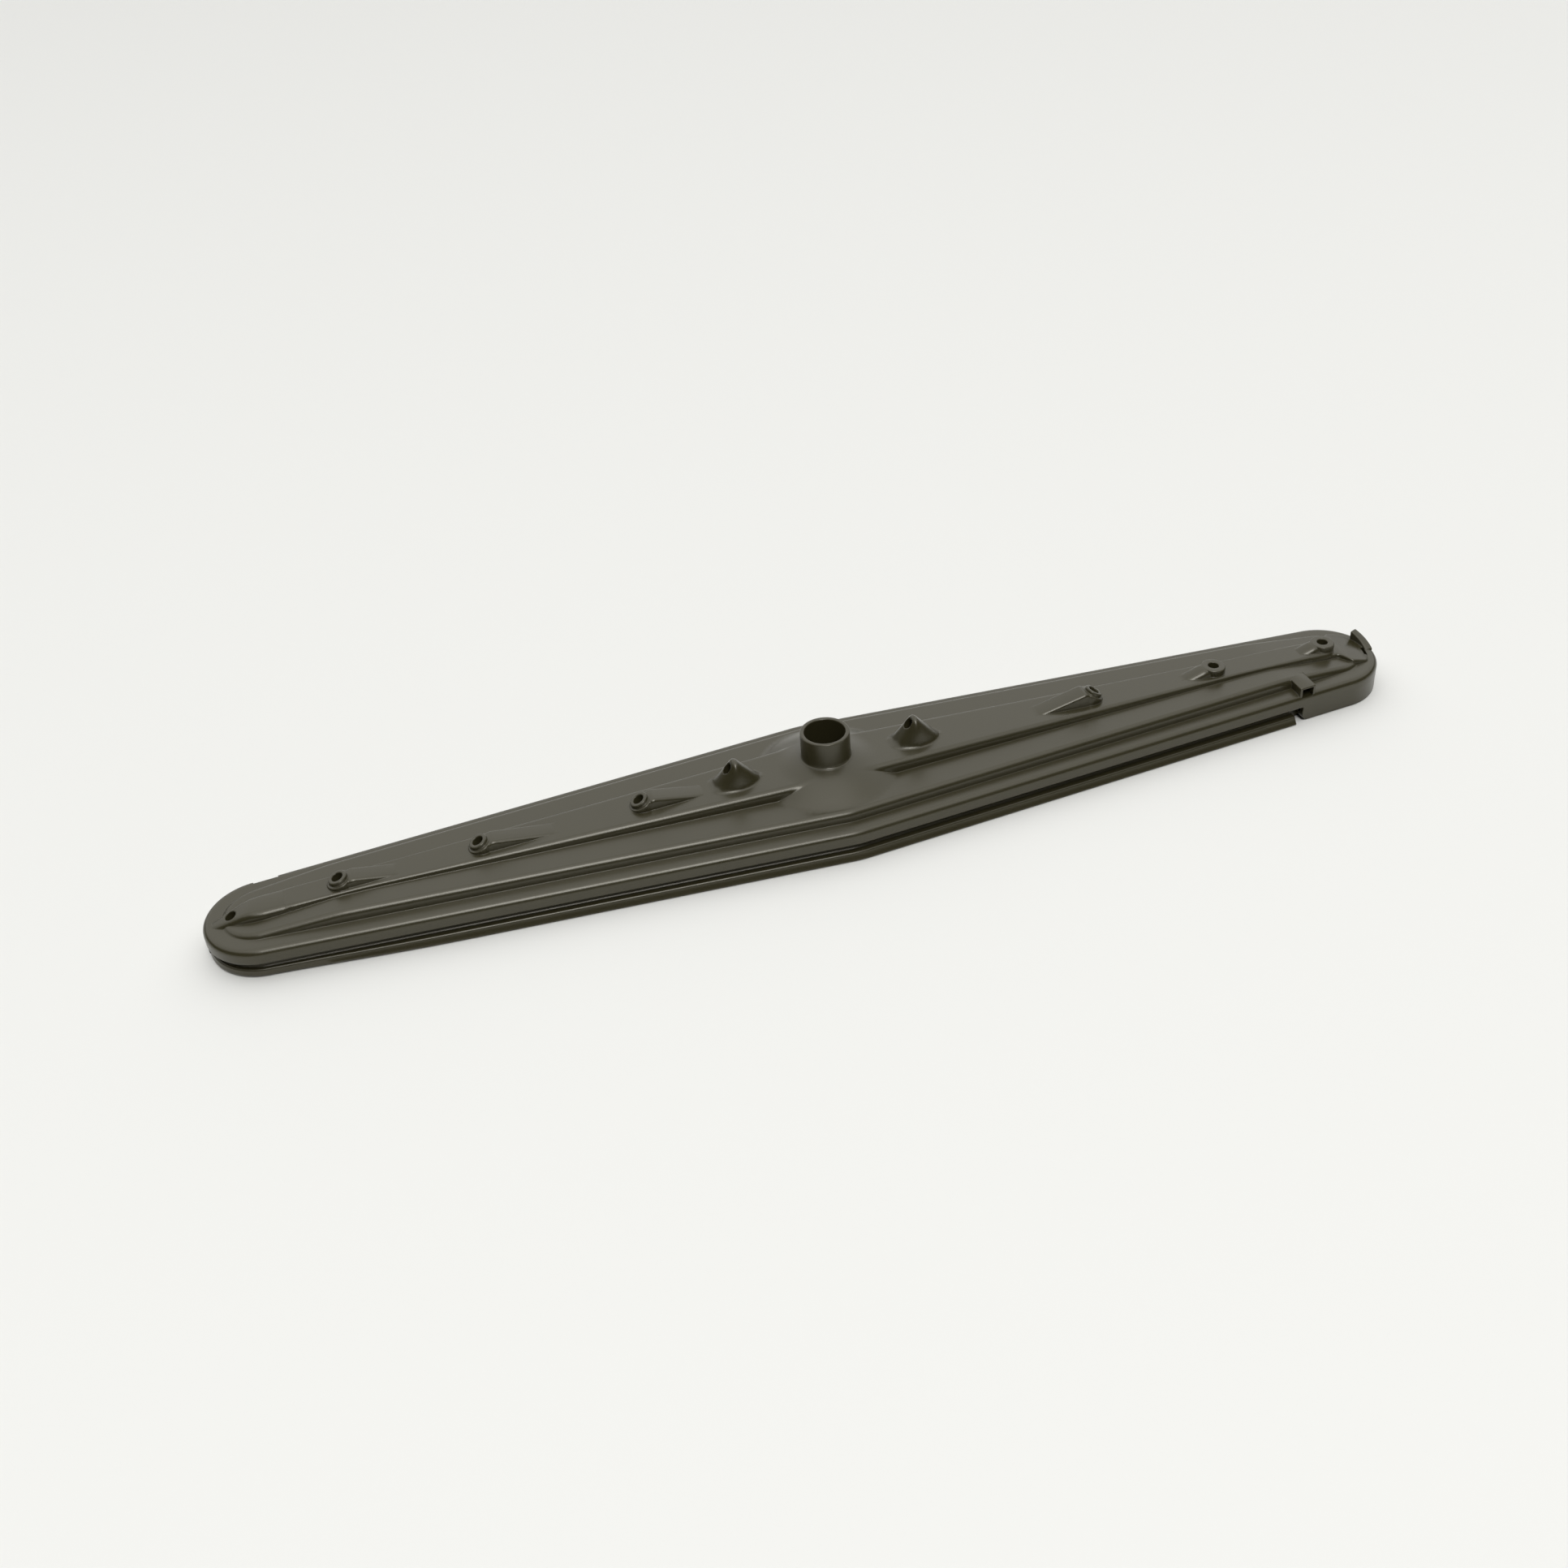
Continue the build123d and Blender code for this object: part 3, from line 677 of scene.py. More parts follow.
@dataclass(frozen=True)
class MouldedForm:
    """Heights of the upper shell's outer side: rim, terrace, channel, hub cone and tall jets."""

    outline: Outline = Outline()
    rim_z: float = 12.1
    rim_edge: float = 2.3
    draft: float = 9.0
    terrace_inset: float = 7.0
    terrace_z: float = 16.1
    terrace_edge: Pair = (2.5, 2.6)
    terrace_grows: Pair = (200.0, 222.0)
    fall_start: float = 187.0
    fall_slope: float = 0.0792
    fall_round: float = 2.0
    channel_edge: float = 2.5
    hub_half_width: float = 13.4
    neck_half_width: float = 5.7
    neck_x: float = 176.0
    hub_z: float = 20.8
    end_z: float = 16.8
    field_end: float = 205.0
    sink_run: float = 3.0
    sink_in: float = 0.8
    sink_down: float = 1.2
    cone_foot: float = 26.6
    cone_top: float = 9.95
    cone_top_z: float = 22.6
    cone_slopes: Pair = (0.49, 0.27)
    cone_round: float = 1.2
    crease: float = 0.5
    jet_crease: float = 1.6
    tall_jets: tuple[Jet, ...] = ()

    def terrace_top(self, x: Array) -> Array:
        """Height of the terrace, level along the arm and falling evenly towards both tips."""
        past = np.abs(x) - self.fall_start
        return self.terrace_z - self.fall_slope * (past + np.sqrt(past**2 + self.fall_round**2)) / 2

    def channel_top(self, x: Array) -> Array:
        """Height of the channel's top, which falls evenly from the hub to the tips' centres."""
        return self.hub_z - (self.hub_z - self.end_z) / self.outline.tip_x * np.abs(x)

    def level(self, x: float) -> float:
        """Height of the channel's top at one place."""
        return float(self.channel_top(np.array(x)))

    def channel_half(self, x: Array) -> Array:
        """Half the width of the channel's top: an even taper up to the neck, then parallel."""
        taper = (self.hub_half_width - self.neck_half_width) / self.neck_x
        return smooth_max(self.hub_half_width - taper * np.abs(x), self.neck_half_width + 0 * x, 0.3)

    def channel_radius(self, x: Array) -> Array:
        """Radius of the channel's upper edges, less where it stands low over the terrace."""
        return np.minimum(self.channel_edge, 0.85 * (self.channel_top(x) - self.terrace_top(x)))

    def height(self, x: Array, y: Array) -> Array:
        """Height of the outer side over every place in plan.

        The highest of the rim, the terrace, the channel, the cone and the tall jets, each rounded and
        blended into the others by a small fillet; the cone has a steeper foot. Close to the tips the
        channel sinks out of sight: separate solids go on from there.

        Args:
            x: places along the arm.
            y: places across it.

        Returns:
            Heights over the floor.
        """
        inset = self.outline.inset(x, y)
        top = self.rim_z - edge_drop(inset - self.rim_edge, self.rim_edge, 0.01)

        level = self.terrace_top(x)
        radius = eased(self.terrace_edge, np.abs(x), *self.terrace_grows)
        start = self.terrace_inset + edge_run(level - self.rim_z, radius, self.draft)
        top = smooth_max(top, level - edge_drop(inset - start, radius, self.draft), self.crease)

        sink_end = self.field_end + self.sink_run
        sunk = ease(np.abs(x), self.field_end, sink_end)
        radius = self.channel_radius(x)
        inward = radius * np.tan(np.radians(90.0 - self.draft) / 2)
        flat = self.channel_half(x) - inward - self.sink_in * sunk
        fall = edge_drop(flat - np.abs(y), radius, self.draft)
        channel = self.channel_top(x) - self.sink_down * sunk - fall
        channel = np.where(np.abs(x) > sink_end + 1.0, 0.0, channel)
        top = smooth_max(top, channel, self.crease)

        out = self.cone_foot - np.hypot(x, y)
        foot = self.terrace_z + np.where(out > 0, self.cone_slopes[0], 4.0) * out
        collar = self.cone_top_z - self.cone_slopes[1] * (self.cone_foot - self.cone_top - out)
        cone = smooth_min(foot, np.minimum(collar, self.cone_top_z), self.cone_round)
        top = smooth_max(top, cone, 2 * self.crease)
        for jet in self.tall_jets:
            top = smooth_max(top, self.channel_top(x) + jet.dome(x, y), self.jet_crease)
        return top


@dataclass
class UpperShell:
    """Moulded upper shell: thin skin with lip, spigot, jets, ramps, hood, fin and locking skirts."""

    form: MouldedForm
    jets: tuple[Jet, ...]
    wall: float = 1.8
    lip_z: float = 6.5
    underside_z: float = 10.3
    lip_edge: float = 0.5
    end_jet: Jet = Jet("jet_1", -224.4, 0.0, -18.9, JetKind.FLUSH)

    # Rows of the skin: fine and coarse step, steps round a tip and round the waist
    fine_span: float = 50.0
    row_steps: Pair = (0.6, 2.2)
    arc_steps: tuple[int, int] = (72, 8)

    # Columns: steps over the channel's top and flank, the terrace and its flank, the rim and its edge
    columns: tuple[int, ...] = (24, 16, 10, 22, 4, 8)
    terrace_flank: Pair = (10.2, 6.4)

    left_bend: float = 218.5
    left_end: float = 232.5
    left_taper: Pair = (214.0, 0.17)
    left_root: Pair = (220.0, 227.0)
    nose_x: float = 211.5
    fan_top: float = 15.5
    fan_start: float = 217.4
    fan_end: float = 231.2
    fan_flare: Pair = (216.2, 221.4)
    fan_half: Pair = (5.6, 10.8)
    fan_margin: float = 3.7
    fan_edge: float = 1.4
    fan_root: float = 10.8

    spigot_radius: float = 9.45
    spigot_bore: float = 7.75
    spigot_top: float = 33.3
    spigot_foot: float = 22.6
    spigot_fillet: float = 0.9
    spigot_edge: float = 0.5

    skirt_starts: Pair = (192.0, 215.5)
    skirt_corners: Pair = (3.0, 0.8)
    toe_reach: float = 2.2
    toe_height: float = 1.5
    notch_x: Pair = (-215.5, -206.3)
    notch_depth: float = 2.2

    hood_x: float = 193.6
    hood_half: float = 3.5
    hood_mouth_half: float = 2.5
    hood_roof: float = 0.7
    hood_sill: float = 10.9
    hood_insets: Pair = (0.6, 10.6)

    fin_thickness: float = 3.2
    fin_setback: float = 0.5
    fin_rise: float = 3.6
    fin_angles: Pair = (-10.0, 23.0)
    slot_width: float = 1.3
    slot_angles: Pair = (-22.0, -3.0)

    def insets(self, rows: Rows) -> Array:
        """Insets of the skin's columns from the arm's middle to the outline.

        They lie close together on the flanks of the channel and of the terrace and on the rim's edge.

        Args:
            rows: rows of the skin.

        Returns:
            Insets, one row of them for each row of the skin.
        """
        form = self.form
        middle = rows.foot[:, 0] - rows.reach * rows.normal[:, 0]
        half = form.channel_half(middle)
        square = np.clip(rows.normal[:, 1], 0.05, None)
        rise = form.channel_top(middle) - form.terrace_top(middle)
        flank_foot = np.clip(rows.reach - (half + 0.16 * rise + 0.7) / square, 11.0, None)
        flank_top = np.clip(rows.reach - (half - 1.5) / square, flank_foot + 1.6, None)

        def spread(start: Array, end: Array, steps: int) -> Array:
            """Even steps from start to end on every row, without the last."""
            return start[:, None] + (end - start)[:, None] * np.arange(steps) / steps

        ones = np.ones(len(middle))
        level = [inset * ones for inset in (*self.terrace_flank, form.rim_edge)]
        stops = [rows.reach, flank_top, flank_foot, *level]
        parts = [spread(*part) for part in zip(stops[:-1], stops[1:], self.columns)]
        turn = np.radians(np.linspace(0.0, 90.0, self.columns[-1] + 1))
        return beside(*parts, ones[:, None] * (form.rim_edge * (1 - np.sin(turn))))

    def skin(self) -> Object:
        """Thin skin: the outer heights, round the lip, and back along the inner side.

        Each row's closed section runs from the middle over the rear side and under it, then the same
        in front. Inner heights are a wall's thickness lower, with the flanks a wall's thickness in.
        """
        form = self.form
        rows = form.outline.rows(self.fine_span, self.row_steps, self.arc_steps)
        top = self.insets(rows)
        edge, low = self.lip_edge, self.lip_z + self.lip_edge
        lip = chain(
            [[0.0, self.lip_z + 1.2]],
            arc((edge, low), edge, 180.0, 270.0, 4),
            arc((self.wall - edge, low), edge, 270.0, 360.0, 3),
            [[self.wall, self.underside_z], [form.terrace_inset + self.wall, self.underside_z]],
        )
        ones = np.ones((len(rows.reach), 1))
        middle = rows.reach[:, None]
        flank_top, flank_foot = self.columns[0], sum(self.columns[:2])
        channel_top = np.minimum(top[:, [flank_top]] + self.wall - 1.0, middle - 0.2)
        channel_foot = np.minimum(top[:, [flank_foot]] + self.wall + 0.3, channel_top - 0.2)
        wall_top = (form.terrace_inset + self.wall + 1.8) * ones
        x, y = rows.plan(top)
        inner = beside(lip[:, 0] * ones, wall_top, channel_foot, channel_top, middle)
        inner_x, inner_y = rows.plan(inner)
        cover = form.height(inner_x[:, -4:], inner_y[:, -4:]) - self.wall
        flat = form.terrace_top(inner_x[:, -4:-2]) - self.wall
        channel = form.channel_top(inner_x[:, -2:]) - self.wall
        inner_z = beside(lip[:, 1] * ones, np.minimum(beside(flat, channel), cover))
        z = beside(form.height(x, y), inner_z)
        return mirrored("upper_moulding", beside(x, inner_x), beside(y, inner_y), z)

    def left_ramp(self, x: Array) -> Array:
        """Height of the slope from the channel's left bend down into the rim."""
        start = self.form.level(self.left_bend)
        share = (-x - self.left_bend) / (self.left_end - self.left_bend)
        return start - (start - self.form.rim_z + 0.3) * share

    def channel_ends(self) -> list[Object]:
        """Both ends of the channel: a narrowing ramp on the left, a round nose and a fan on the right.

        The nose's half-width is the height of a circle, and its top falls along a quarter arc at the
        very end. The fan's half-width eases from the channel's own to its full spread and is then
        limited by a circle about the tip's centre.
        """
        form = self.form
        x = -np.linspace(form.field_end, self.left_end, 81)
        top = smooth_min(form.channel_top(x), self.left_ramp(x), 0.8)
        bend, rate = self.left_taper
        half = form.channel_half(x) - rate * smooth_max(-x - bend, 0 * x, 2.0)
        root = form.terrace_top(x) - 1.0 - ease(-x, *self.left_root)
        left = loaf("left_ramp", x, top, half + 0.01, root, form.channel_edge, form.draft)

        nose = form.neck_half_width
        turn = np.radians(np.linspace(0.0, 86.0, 25))
        straight = np.linspace(form.field_end, self.nose_x, 12)[:-1]
        x = chain(straight, self.nose_x + nose * np.sin(turn))
        half = np.sqrt(np.clip(nose**2 - np.clip(x - self.nose_x, 0.0, None) ** 2, 0.0, None))
        short = np.clip(form.channel_edge - (self.nose_x + nose - x), 0.0, None)
        top = form.channel_top(x) - form.channel_edge + np.sqrt(form.channel_edge**2 - short**2)
        root = form.terrace_top(x) - 1.0
        right = loaf("right_nose", x, top, half + 0.01, root, form.channel_edge, form.draft)

        x = np.linspace(self.nose_x + 1.0, self.fan_end, 61)
        high = self.fan_top
        share = (x - self.fan_start) / (self.fan_end - self.fan_start)
        top = smooth_min(high - (high - form.rim_z + 0.2) * share, high + 0 * x, 0.6)
        spread = eased(self.fan_half, x, *self.fan_flare)
        within = form.outline.tip_radius - self.fan_margin
        limit = np.sqrt(np.clip(within**2 - (x - form.outline.tip_x) ** 2, 0.04, None))
        half = smooth_min(spread, limit, 1.0)
        fan = loaf("right_fan", x, top, half, 0 * x + self.fan_root, self.fan_edge, form.draft)
        return [left, right, fan]

    def spigot(self) -> Object:
        """Feed spigot: a plain tube with a rounded top edge and a fillet at its foot."""
        radius, top = self.spigot_radius, self.spigot_top
        fillet, edge, root = self.spigot_fillet, self.spigot_edge, self.underside_z + 6.0
        profile = chain(
            [[0.0, top]],
            arc((radius - edge, top - edge), edge, 90.0, 0.0, 5),
            arc((radius + fillet, self.spigot_foot + fillet), fillet, 180.0, 270.0, 6),
            [[radius + fillet, root], [0.0, root]],
        )
        return turned("spigot", profile, UPRIGHT, 96)

    def spigot_way(self) -> Object:
        """Cutter for the spigot's bore, with a rounded mouth."""
        edge, past = self.spigot_edge, self.spigot_top + 1.0
        wide = self.spigot_bore + edge
        profile = chain(
            [[0.0, past], [wide, past]],
            arc((wide, self.spigot_top - edge), edge, 90.0, 180.0, 5),
            [[self.spigot_bore, self.lip_z], [0.0, self.lip_z]],
        )
        return turned("spigot_bore", profile, UPRIGHT, 96)

    def skirts(self) -> list[Object]:
        """Full-height skirt at each locked corner, with a toe that turns in at its foot."""
        top = self.form.rim_z - self.form.rim_edge
        inner, toe = self.wall, self.wall + self.toe_reach
        outside = [[0.0, 0.4], [0.0, top], [inner, top], [inner, self.toe_height]]
        profile = chain(outside, [[toe, self.toe_height], [toe, 0.0], [0.4, 0.0]])
        return self.form.outline.bands("skirt", self.skirt_starts, profile, self.skirt_corners)

    @property
    def hood_top(self) -> float:
        """Height of the hood's roof, level with the terrace beside it."""
        return float(self.form.terrace_top(np.array(self.hood_x)))

    def hood(self) -> Object:
        """Block over the square drive jet."""
        x = (self.hood_x - self.hood_half, self.hood_x + self.hood_half)
        z = (self.underside_z + 0.4, self.hood_top)
        return rounded(self.form.outline.edge_block("hood", x, self.hood_insets, z, -1), 0.4)

    def hood_mouth(self) -> Object:
        """Cutter for the square water way under the hood's roof."""
        x = (self.hood_x - self.hood_mouth_half, self.hood_x + self.hood_mouth_half)
        z = (self.hood_sill, self.hood_top - self.hood_roof)
        return self.form.outline.edge_block("hood_mouth", x, (-5.0, self.hood_insets[1]), z, -1)

    def fin(self) -> Object:
        """Low wall on the right tip's edge that rises towards the rear."""
        outer = self.form.outline.tip_radius - self.fin_setback
        angles = np.linspace(*self.fin_angles, 25)
        across = np.sin(np.radians(angles))
        share = (across - across[0]) / (across[-1] - across[0])
        high = self.form.rim_z + 0.3 + (self.fin_rise - 0.3) * share
        radii = (outer - self.fin_thickness, outer)
        wall = self.form.outline.tip_wall("fin", radii, angles, self.underside_z + 0.4, high)
        return rounded(wall, 0.5)

    def slot(self) -> Object:
        """Cutter for the narrow slot beside the fin."""
        outer = self.form.outline.tip_radius - self.fin_setback - self.fin_thickness
        angles = np.linspace(*self.slot_angles, 17)
        radii = (outer - self.slot_width, outer)
        return self.form.outline.tip_wall("slot", radii, angles, self.lip_z, self.form.terrace_z)

    def notch(self) -> Object:
        """Cutter for the step in the rear edge near the left tip."""
        z = (self.lip_z - 1.0, self.form.rim_z + 1.0)
        return self.form.outline.edge_block("notch", self.notch_x, (self.notch_depth, -6.0), z, 1)

    def jet_bodies(self) -> list[Object]:
        """Bosses with their feed ridges."""
        made = []
        for jet in self.jets:
            if jet.kind is not JetKind.TALL:
                level = self.form.level(jet.x)
                tail_level = self.form.level(abs(jet.x) - jet.ridge)
                made += [jet.boss_body(level), jet.feed_ridge(level, tail_level)]
        return made

    def water_ways(self) -> list[Object]:
        """Cutters for the spigot's bore, the nine jets and the hood's mouth."""
        made = [self.spigot_way(), self.hood_mouth()]
        made += [jet.water_way(self.form.level(jet.x), self.underside_z) for jet in self.jets]
        made.append(self.end_jet.water_way(float(self.left_ramp(np.array(self.end_jet.x))), self.lip_z))
        return made

    def build(self) -> Object:
        """Skin with everything that is moulded on it, and the water ways cut through."""
        body = self.skin()
        joined = [self.spigot(), *self.channel_ends(), *self.jet_bodies()]
        joined += [*self.skirts(), self.hood(), self.fin()]
        cut = [*self.water_ways(), self.slot(), self.notch()]
        combine(body, [(tool, Blend.JOIN) for tool in joined] + [(tool, Blend.CUT) for tool in cut])
        shade(body)
        return body


@dataclass
class LowerShell:
    """Moulded lower shell: closed tray with a sloping outer flange and a seal wall."""

    outline: Outline
    overhang: float = 1.48
    flange_z: float = 3.3
    flange_inset: float = 0.5
    flange_edge: float = 0.8
    foot_radius: Pair = (0.7, 1.4)
    foot_grows: Pair = (120.0, 225.0)
    seal_inset: float = 2.6
    seal_back: float = 6.3
    left_setback: float = 2.0
    setback_grows: Pair = (150.0, 226.0)
    setback_share: float = 0.6
    seal_z: float = 10.25
    wall: float = 1.8
    fine_span: float = 6.0
    row_steps: Pair = (1.5, 5.0)
    arc_steps: tuple[int, int] = (48, 12)
    lock_inset: float = 4.3
    lock_starts: Pair = (188.4, 215.2)
    lock_reach: float = 4.0
    lock_levels: Pair = (-2.0, 14.0)

    def tray(self) -> Object:
        """Tray: from the middle along the underside, round the flange, over the seal wall and back.

        The foot grows rounder and stands further back towards the left tip. The flange leans in from
        the foot to its upper edge, which is a quarter arc.
        """
        rows = self.outline.rows(self.fine_span, self.row_steps, self.arc_steps)
        left = -rows.foot[:, :1]
        radius = eased(self.foot_radius, left, *self.foot_grows)
        turn = np.radians(np.linspace(0.0, 90.0, 9))
        back = self.left_setback * ease(left, *self.setback_grows)
        foot_inset = radius * (1 - np.sin(turn)) - self.overhang + back
        foot_z = radius * (1 - np.cos(turn))
        edge = self.flange_edge
        nose_inset = self.flange_inset - edge * np.cos(turn) + self.setback_share * back
        nose_z = self.flange_z - edge * (1 - np.sin(turn)) + 0 * radius
        front, low, high = self.seal_inset, self.flange_z, self.seal_z
        seal = chain(
            [[front - 0.4, low], [front, low + 0.4], [front, high - 0.3], [front + 0.3, high]],
            [[self.seal_back, high], [self.seal_back, self.wall]],
        )
        ones, middle = np.ones_like(radius), rows.reach[:, None]
        inset = beside(middle, foot_inset, nose_inset, seal[:, 0] * ones, middle)
        level = beside(0 * ones, foot_z, nose_z, seal[:, 1] * ones, self.wall * ones)
        return mirrored("lower_moulding", *rows.plan(inset), level)

    def build(self) -> Object:
        """Tray with its flange cut away at the two locked corners."""
        body = self.tray()
        out, (low, high) = -self.lock_reach, self.lock_levels
        profile = np.array([[out, low], [out, high], [self.lock_inset, high], [self.lock_inset, low]])
        locks = self.outline.bands("lock", self.lock_starts, profile, (0.0, 0.0))
        combine(body, [(lock, Blend.CUT) for lock in locks])
        shade(body)
        return body


JETS = (
    Jet("jet_2", -185.4, 3.1, -16.0, JetKind.COLLAR, 22.1),
    Jet("jet_3", -134.2, 3.2, -22.0, JetKind.COLLAR, 29.9),
    Jet("jet_4", -73.6, 3.3, -26.0, JetKind.COLLAR, 26.0),
    Jet("jet_5", -39.0, 6.9, -33.0, JetKind.TALL),
    Jet("jet_6", 33.1, 7.7, -36.0, JetKind.TALL),
    Jet("jet_7", 111.2, 3.8, 31.0, JetKind.COLLAR, 26.0),
    Jet("jet_8", 163.3, 2.7, 3.0, JetKind.PLAIN, 14.0, ridge_half=3.4, ridge_edge=2.6),
    Jet("jet_9", 212.4, 2.2, 2.0, JetKind.PLAIN, 12.0, ridge_half=3.4, ridge_edge=2.6),
)


# Finishes


@dataclass(frozen=True)
class SatinPlastic:
    """Satin moulded plastic: fine eroded grain, faint cloudiness and edges rubbed a little paler."""

    name: str
    colour: tuple[float, float, float] = (0.035, 0.031, 0.014)
    worn: tuple[float, float, float] = (0.066, 0.060, 0.038)
    sheen: float = 0.72
    sheen_tint: tuple[float, float, float] = (1.0, 0.97, 0.88)
    roughness: Pair = (0.25, 0.34)
    grain_scale: float = 1800.0
    grain_depth: float = 0.00003
    cloud_scale: float = 55.0
    edge_width: float = 0.0005

    def material(self) -> bpy.types.Material:
        """Node material on Object coordinates.

        Returns:
            The new material.
        """
        made = bpy.data.materials.new(self.name)
        made.use_nodes = True
        nodes, links = made.node_tree.nodes, made.node_tree.links

        def feed(node: bpy.types.ShaderNode, sockets: dict) -> None:
            """Sets a node's inputs, or links them where another node's output is given."""
            for key, value in sockets.items():
                if isinstance(value, bpy.types.NodeSocket):
                    links.new(value, node.inputs[key])
                else:
                    node.inputs[key].default_value = value

        def add(kind: str, sockets: dict, **settings: str | int) -> bpy.types.bpy_prop_collection:
            """New node.

            Args:
                kind: type of the node.
                sockets: values or outputs for its inputs.
                settings: its other properties.

            Returns:
                The node's outputs.
            """
            node = nodes.new(f"ShaderNode{kind}")
            for key, value in settings.items():
                setattr(node, key, value)
            feed(node, sockets)
            return node.outputs

        place = add("TexCoord", {})["Object"]
        cloud = add("TexNoise", {"Scale": self.cloud_scale, "Detail": 5.0, "Vector": place})["Fac"]
        grain = add("TexNoise", {"Scale": self.grain_scale, "Detail": 3.0, "Vector": place})["Fac"]

        # Rubbed edges: where the rounded normal turns away from the face's own
        bevel = add("Bevel", {"Radius": self.edge_width}, samples=6)["Normal"]
        face = add("NewGeometry", {})["Normal"]
        agree = add("VectorMath", {0: bevel, 1: face}, operation="DOT_PRODUCT")["Value"]
        rub = add("MapRange", {"From Min": 0.995, "From Max": 0.80, "Value": agree})["Result"]
        patch = add("Math", {0: rub, 1: cloud}, operation="MULTIPLY")["Value"]

        dark, light = ((*(share * part for part in self.colour), 1.0) for share in (0.92, 1.08))
        tone = add("Mix", {"A": dark, "B": light, "Factor": cloud}, data_type="RGBA")["Result"]
        worn = (*self.worn, 1.0)
        wear = add("Mix", {"A": tone, "B": worn, "Factor": patch}, data_type="RGBA")["Result"]
        smooth, rough = self.roughness
        gloss = add("MapRange", {"To Min": smooth, "To Max": rough, "Value": cloud})["Result"]
        relief = {"Strength": 0.5, "Distance": self.grain_depth, "Height": grain, "Normal": bevel}
        sockets = {
            "Specular IOR Level": self.sheen,
            "Specular Tint": (*self.sheen_tint, 1.0),
            "Base Color": wear,
            "Roughness": gloss,
            "Normal": add("Bump", relief)["Normal"],
        }
        feed(nodes["Principled BSDF"], sockets)
        return made


@dataclass(frozen=True)
class SoftLight:
    """A wide far light: where it stands, how wide it looks and how strong it is."""

    name: str
    azimuth: float
    elevation: float
    width: float
    strength: float

    def place(self) -> None:
        """Adds the light; its azimuth turns from straight behind the arm to the right."""
        data = bpy.data.lights.new(self.name, "SUN")
        data.energy = self.strength
        data.angle = np.radians(self.width)
        around, high = np.radians([self.azimuth, self.elevation])
        toward = np.array([np.sin(around) * np.cos(high), np.cos(around) * np.cos(high), np.sin(high)])
        side = np.cross([0.0, 1.0, 0.0], toward)
        side /= np.linalg.norm(side)
        posed(self.name, data, (side, np.cross(toward, side), toward))


@dataclass(frozen=True)
class CeilingPanel:
    """A wide soft panel high over the arm's front."""

    name: str
    height: float
    along: Pair
    across: Pair
    strength: float

    def place(self) -> None:
        """Adds the panel; its borders are given as shares of its height, along the arm and across it."""
        data = bpy.data.lights.new(self.name, "AREA")
        data.shape = "RECTANGLE"
        data.size = self.height * (self.along[1] - self.along[0])
        data.size_y = self.height * (self.across[1] - self.across[0])
        data.energy = self.strength * np.pi * data.size * data.size_y
        centre = np.array([sum(self.along) / 2, sum(self.across) / 2, 1.0])
        posed(self.name, data, place=self.height * centre)


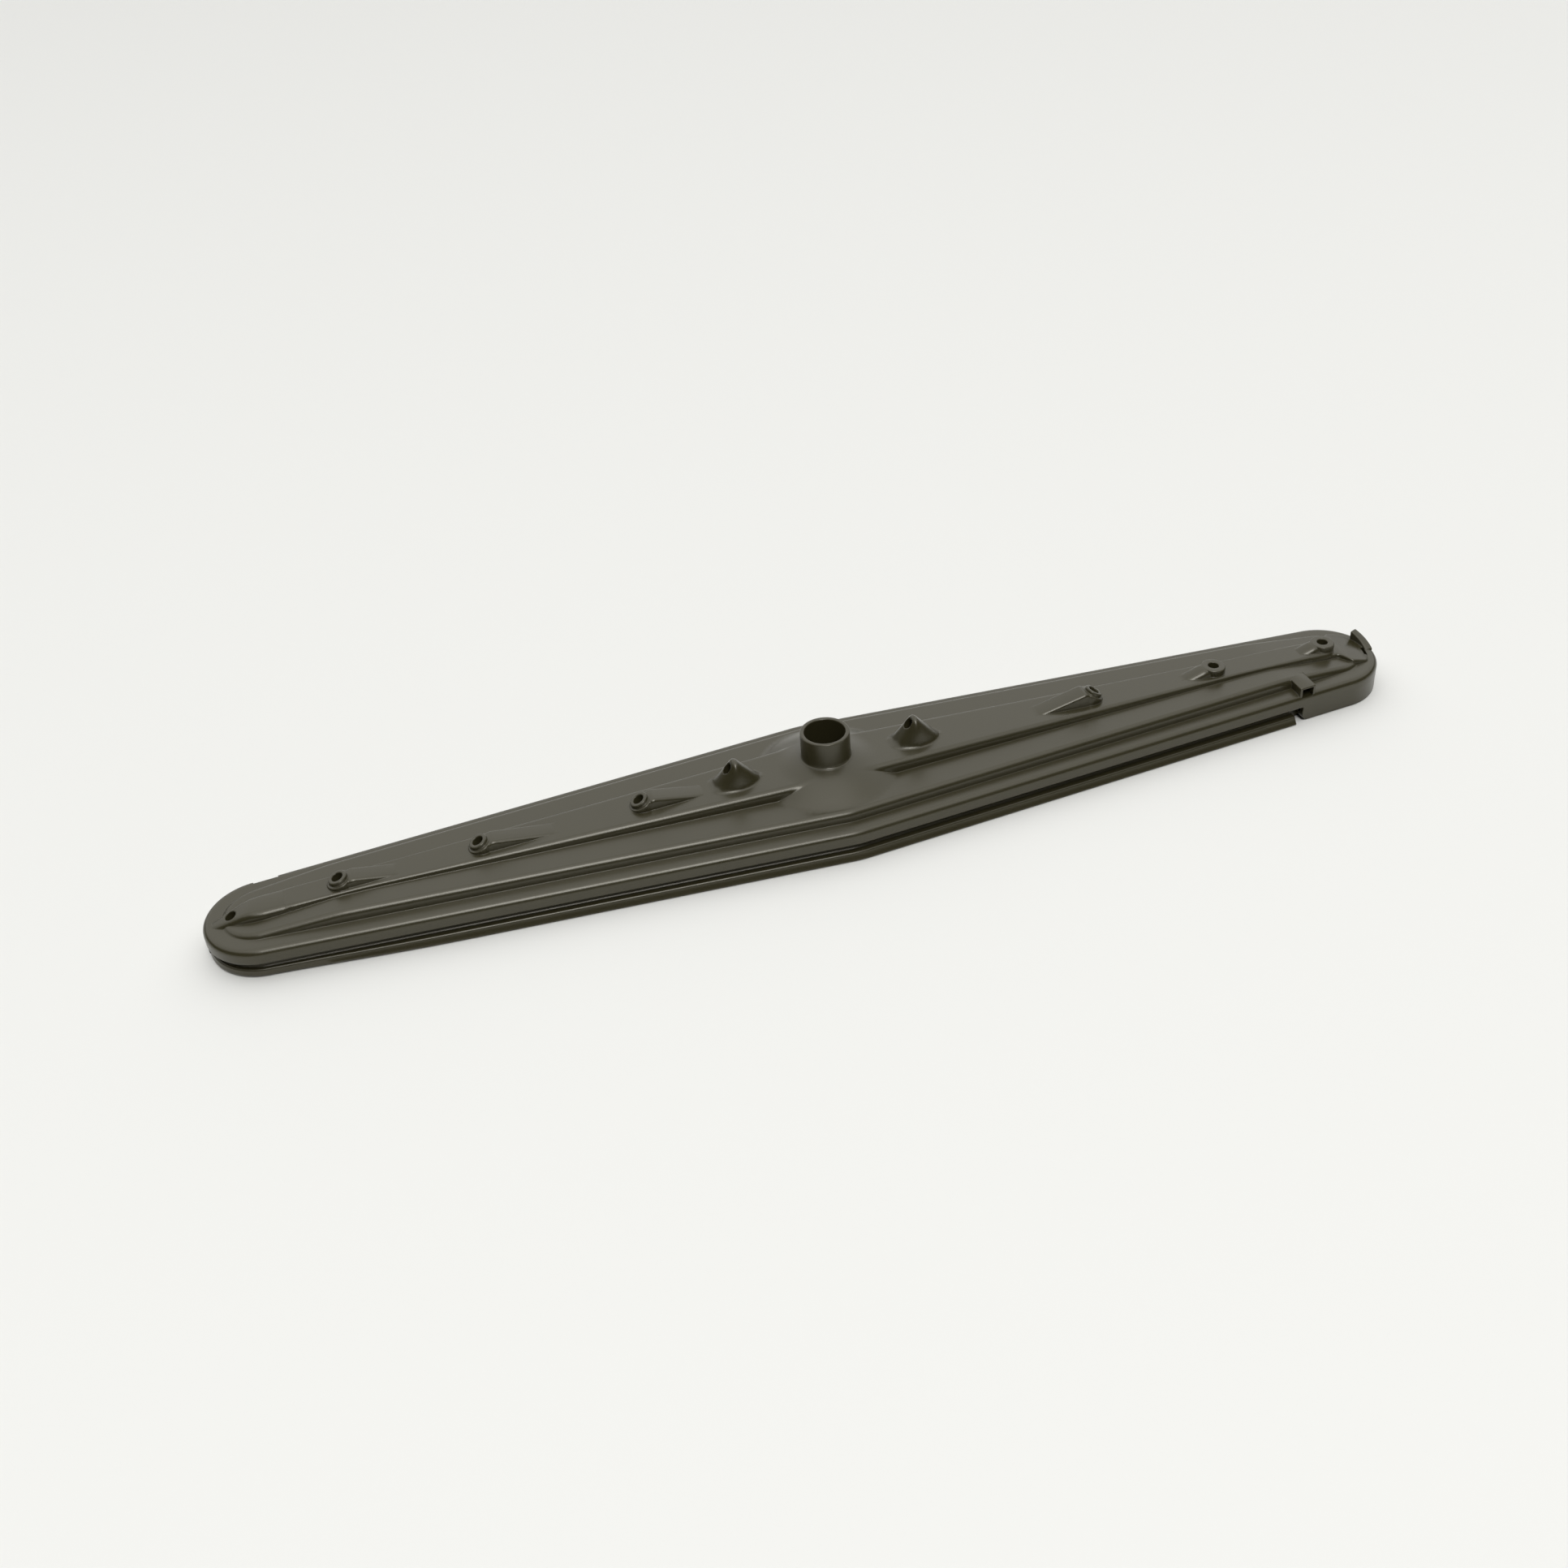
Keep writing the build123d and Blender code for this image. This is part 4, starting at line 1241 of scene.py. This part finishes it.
@dataclass(frozen=True)
class Studio:
    """Pale floor, soft light from above, and the camera at the photograph's view."""

    floor_half: float = 6.0
    floor_colour: tuple[float, float, float] = (0.855, 0.855, 0.825)
    sky: float = 0.01
    lamps: tuple[CeilingPanel | SoftLight, ...] = (
        SoftLight("soft_dome", 15.0, 62.0, 116.0, 2.3),
        SoftLight("overhead", 0.0, 88.0, 44.0, 0.2),
        CeilingPanel("high_key", 6.0, (-0.22, 0.16), (-1.05, -0.35), 8.4),
    )
    eye: tuple[float, float, float] = (-0.16227, -0.53031, 0.42677)
    azimuth: float = -15.29
    elevation: float = 36.94
    roll: float = -4.34
    lens: float = 41.58
    sensor: float = 36.0

    def floor(self) -> None:
        """Plain pale floor under the arm."""
        lines = 9
        side = np.linspace(-self.floor_half, self.floor_half, lines)
        x, y = np.meshgrid(side, side, indexing="ij")
        mesh = bpy.data.meshes.new("floor")
        points = np.stack([x, y, 0 * x], axis=-1).reshape(-1, 3)
        mesh.from_pydata(points.tolist(), [], quads(lines, lines, False, False)[:, ::-1].tolist())
        made = posed("floor", mesh)
        matter = bpy.data.materials.new("pale_floor")
        matter.use_nodes = True
        shader = matter.node_tree.nodes["Principled BSDF"]
        shader.inputs["Base Color"].default_value = (*self.floor_colour, 1.0)
        shader.inputs["Roughness"].default_value = 0.8
        shader.inputs["Specular IOR Level"].default_value = 0.1
        mesh.materials.append(matter)

    def lights(self) -> None:
        """The lamps, and a faint even sky."""
        for lamp in self.lamps:
            lamp.place()
        world = bpy.data.worlds.new("studio_sky")
        bpy.context.scene.world = world
        world.use_nodes = True
        sky = world.node_tree.nodes["Background"]
        sky.inputs["Color"].default_value = (1.0, 1.0, 1.0, 1.0)
        sky.inputs["Strength"].default_value = self.sky

    def camera(self) -> None:
        """Camera at the place, turn and lens that the photograph was taken with."""
        around, high, tilt = np.radians([self.azimuth, self.elevation, self.roll])
        back = np.array([np.sin(around) * np.cos(high), -np.cos(around) * np.cos(high), np.sin(high)])
        level = np.array([np.cos(around), np.sin(around), 0.0])
        rise = np.cross(back, level)
        right = np.cos(tilt) * level + np.sin(tilt) * rise
        up = np.cos(tilt) * rise - np.sin(tilt) * level
        data = bpy.data.cameras.new("camera")
        data.lens = self.lens
        data.sensor_width = self.sensor
        data.clip_start = 0.01
        bpy.context.scene.camera = posed("camera", data, (right, up, back), self.eye)


def main() -> None:
    """Builds the arm and the studio."""
    logging.basicConfig(level=logging.INFO, format="%(message)s")
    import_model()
    bpy.context.scene.view_settings.view_transform = "Standard"

    studio = Studio()
    studio.camera()
    studio.lights()
    studio.floor()

    upper_finish = SatinPlastic("upper_satin_plastic").material()
    lower_finish = SatinPlastic("lower_satin_plastic").material()

    form = MouldedForm(tall_jets=tuple(jet for jet in JETS if jet.kind is JetKind.TALL))
    upper = UpperShell(form, JETS).build()
    lower = LowerShell(form.outline).build()
    for piece, node, slot, finish in (
        (upper, "upper_shell", "upper_plastic", upper_finish),
        (lower, "lower_shell", "lower_plastic", lower_finish),
    ):
        piece.data.materials.clear()
        piece.data.materials.append(finish)
        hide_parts(node)
        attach(piece, "root")
        piece.data.calc_loop_triangles()
        LOG.info("%s: %d triangles", piece.name, len(piece.data.loop_triangles))


if __name__ == "__main__":
    main()
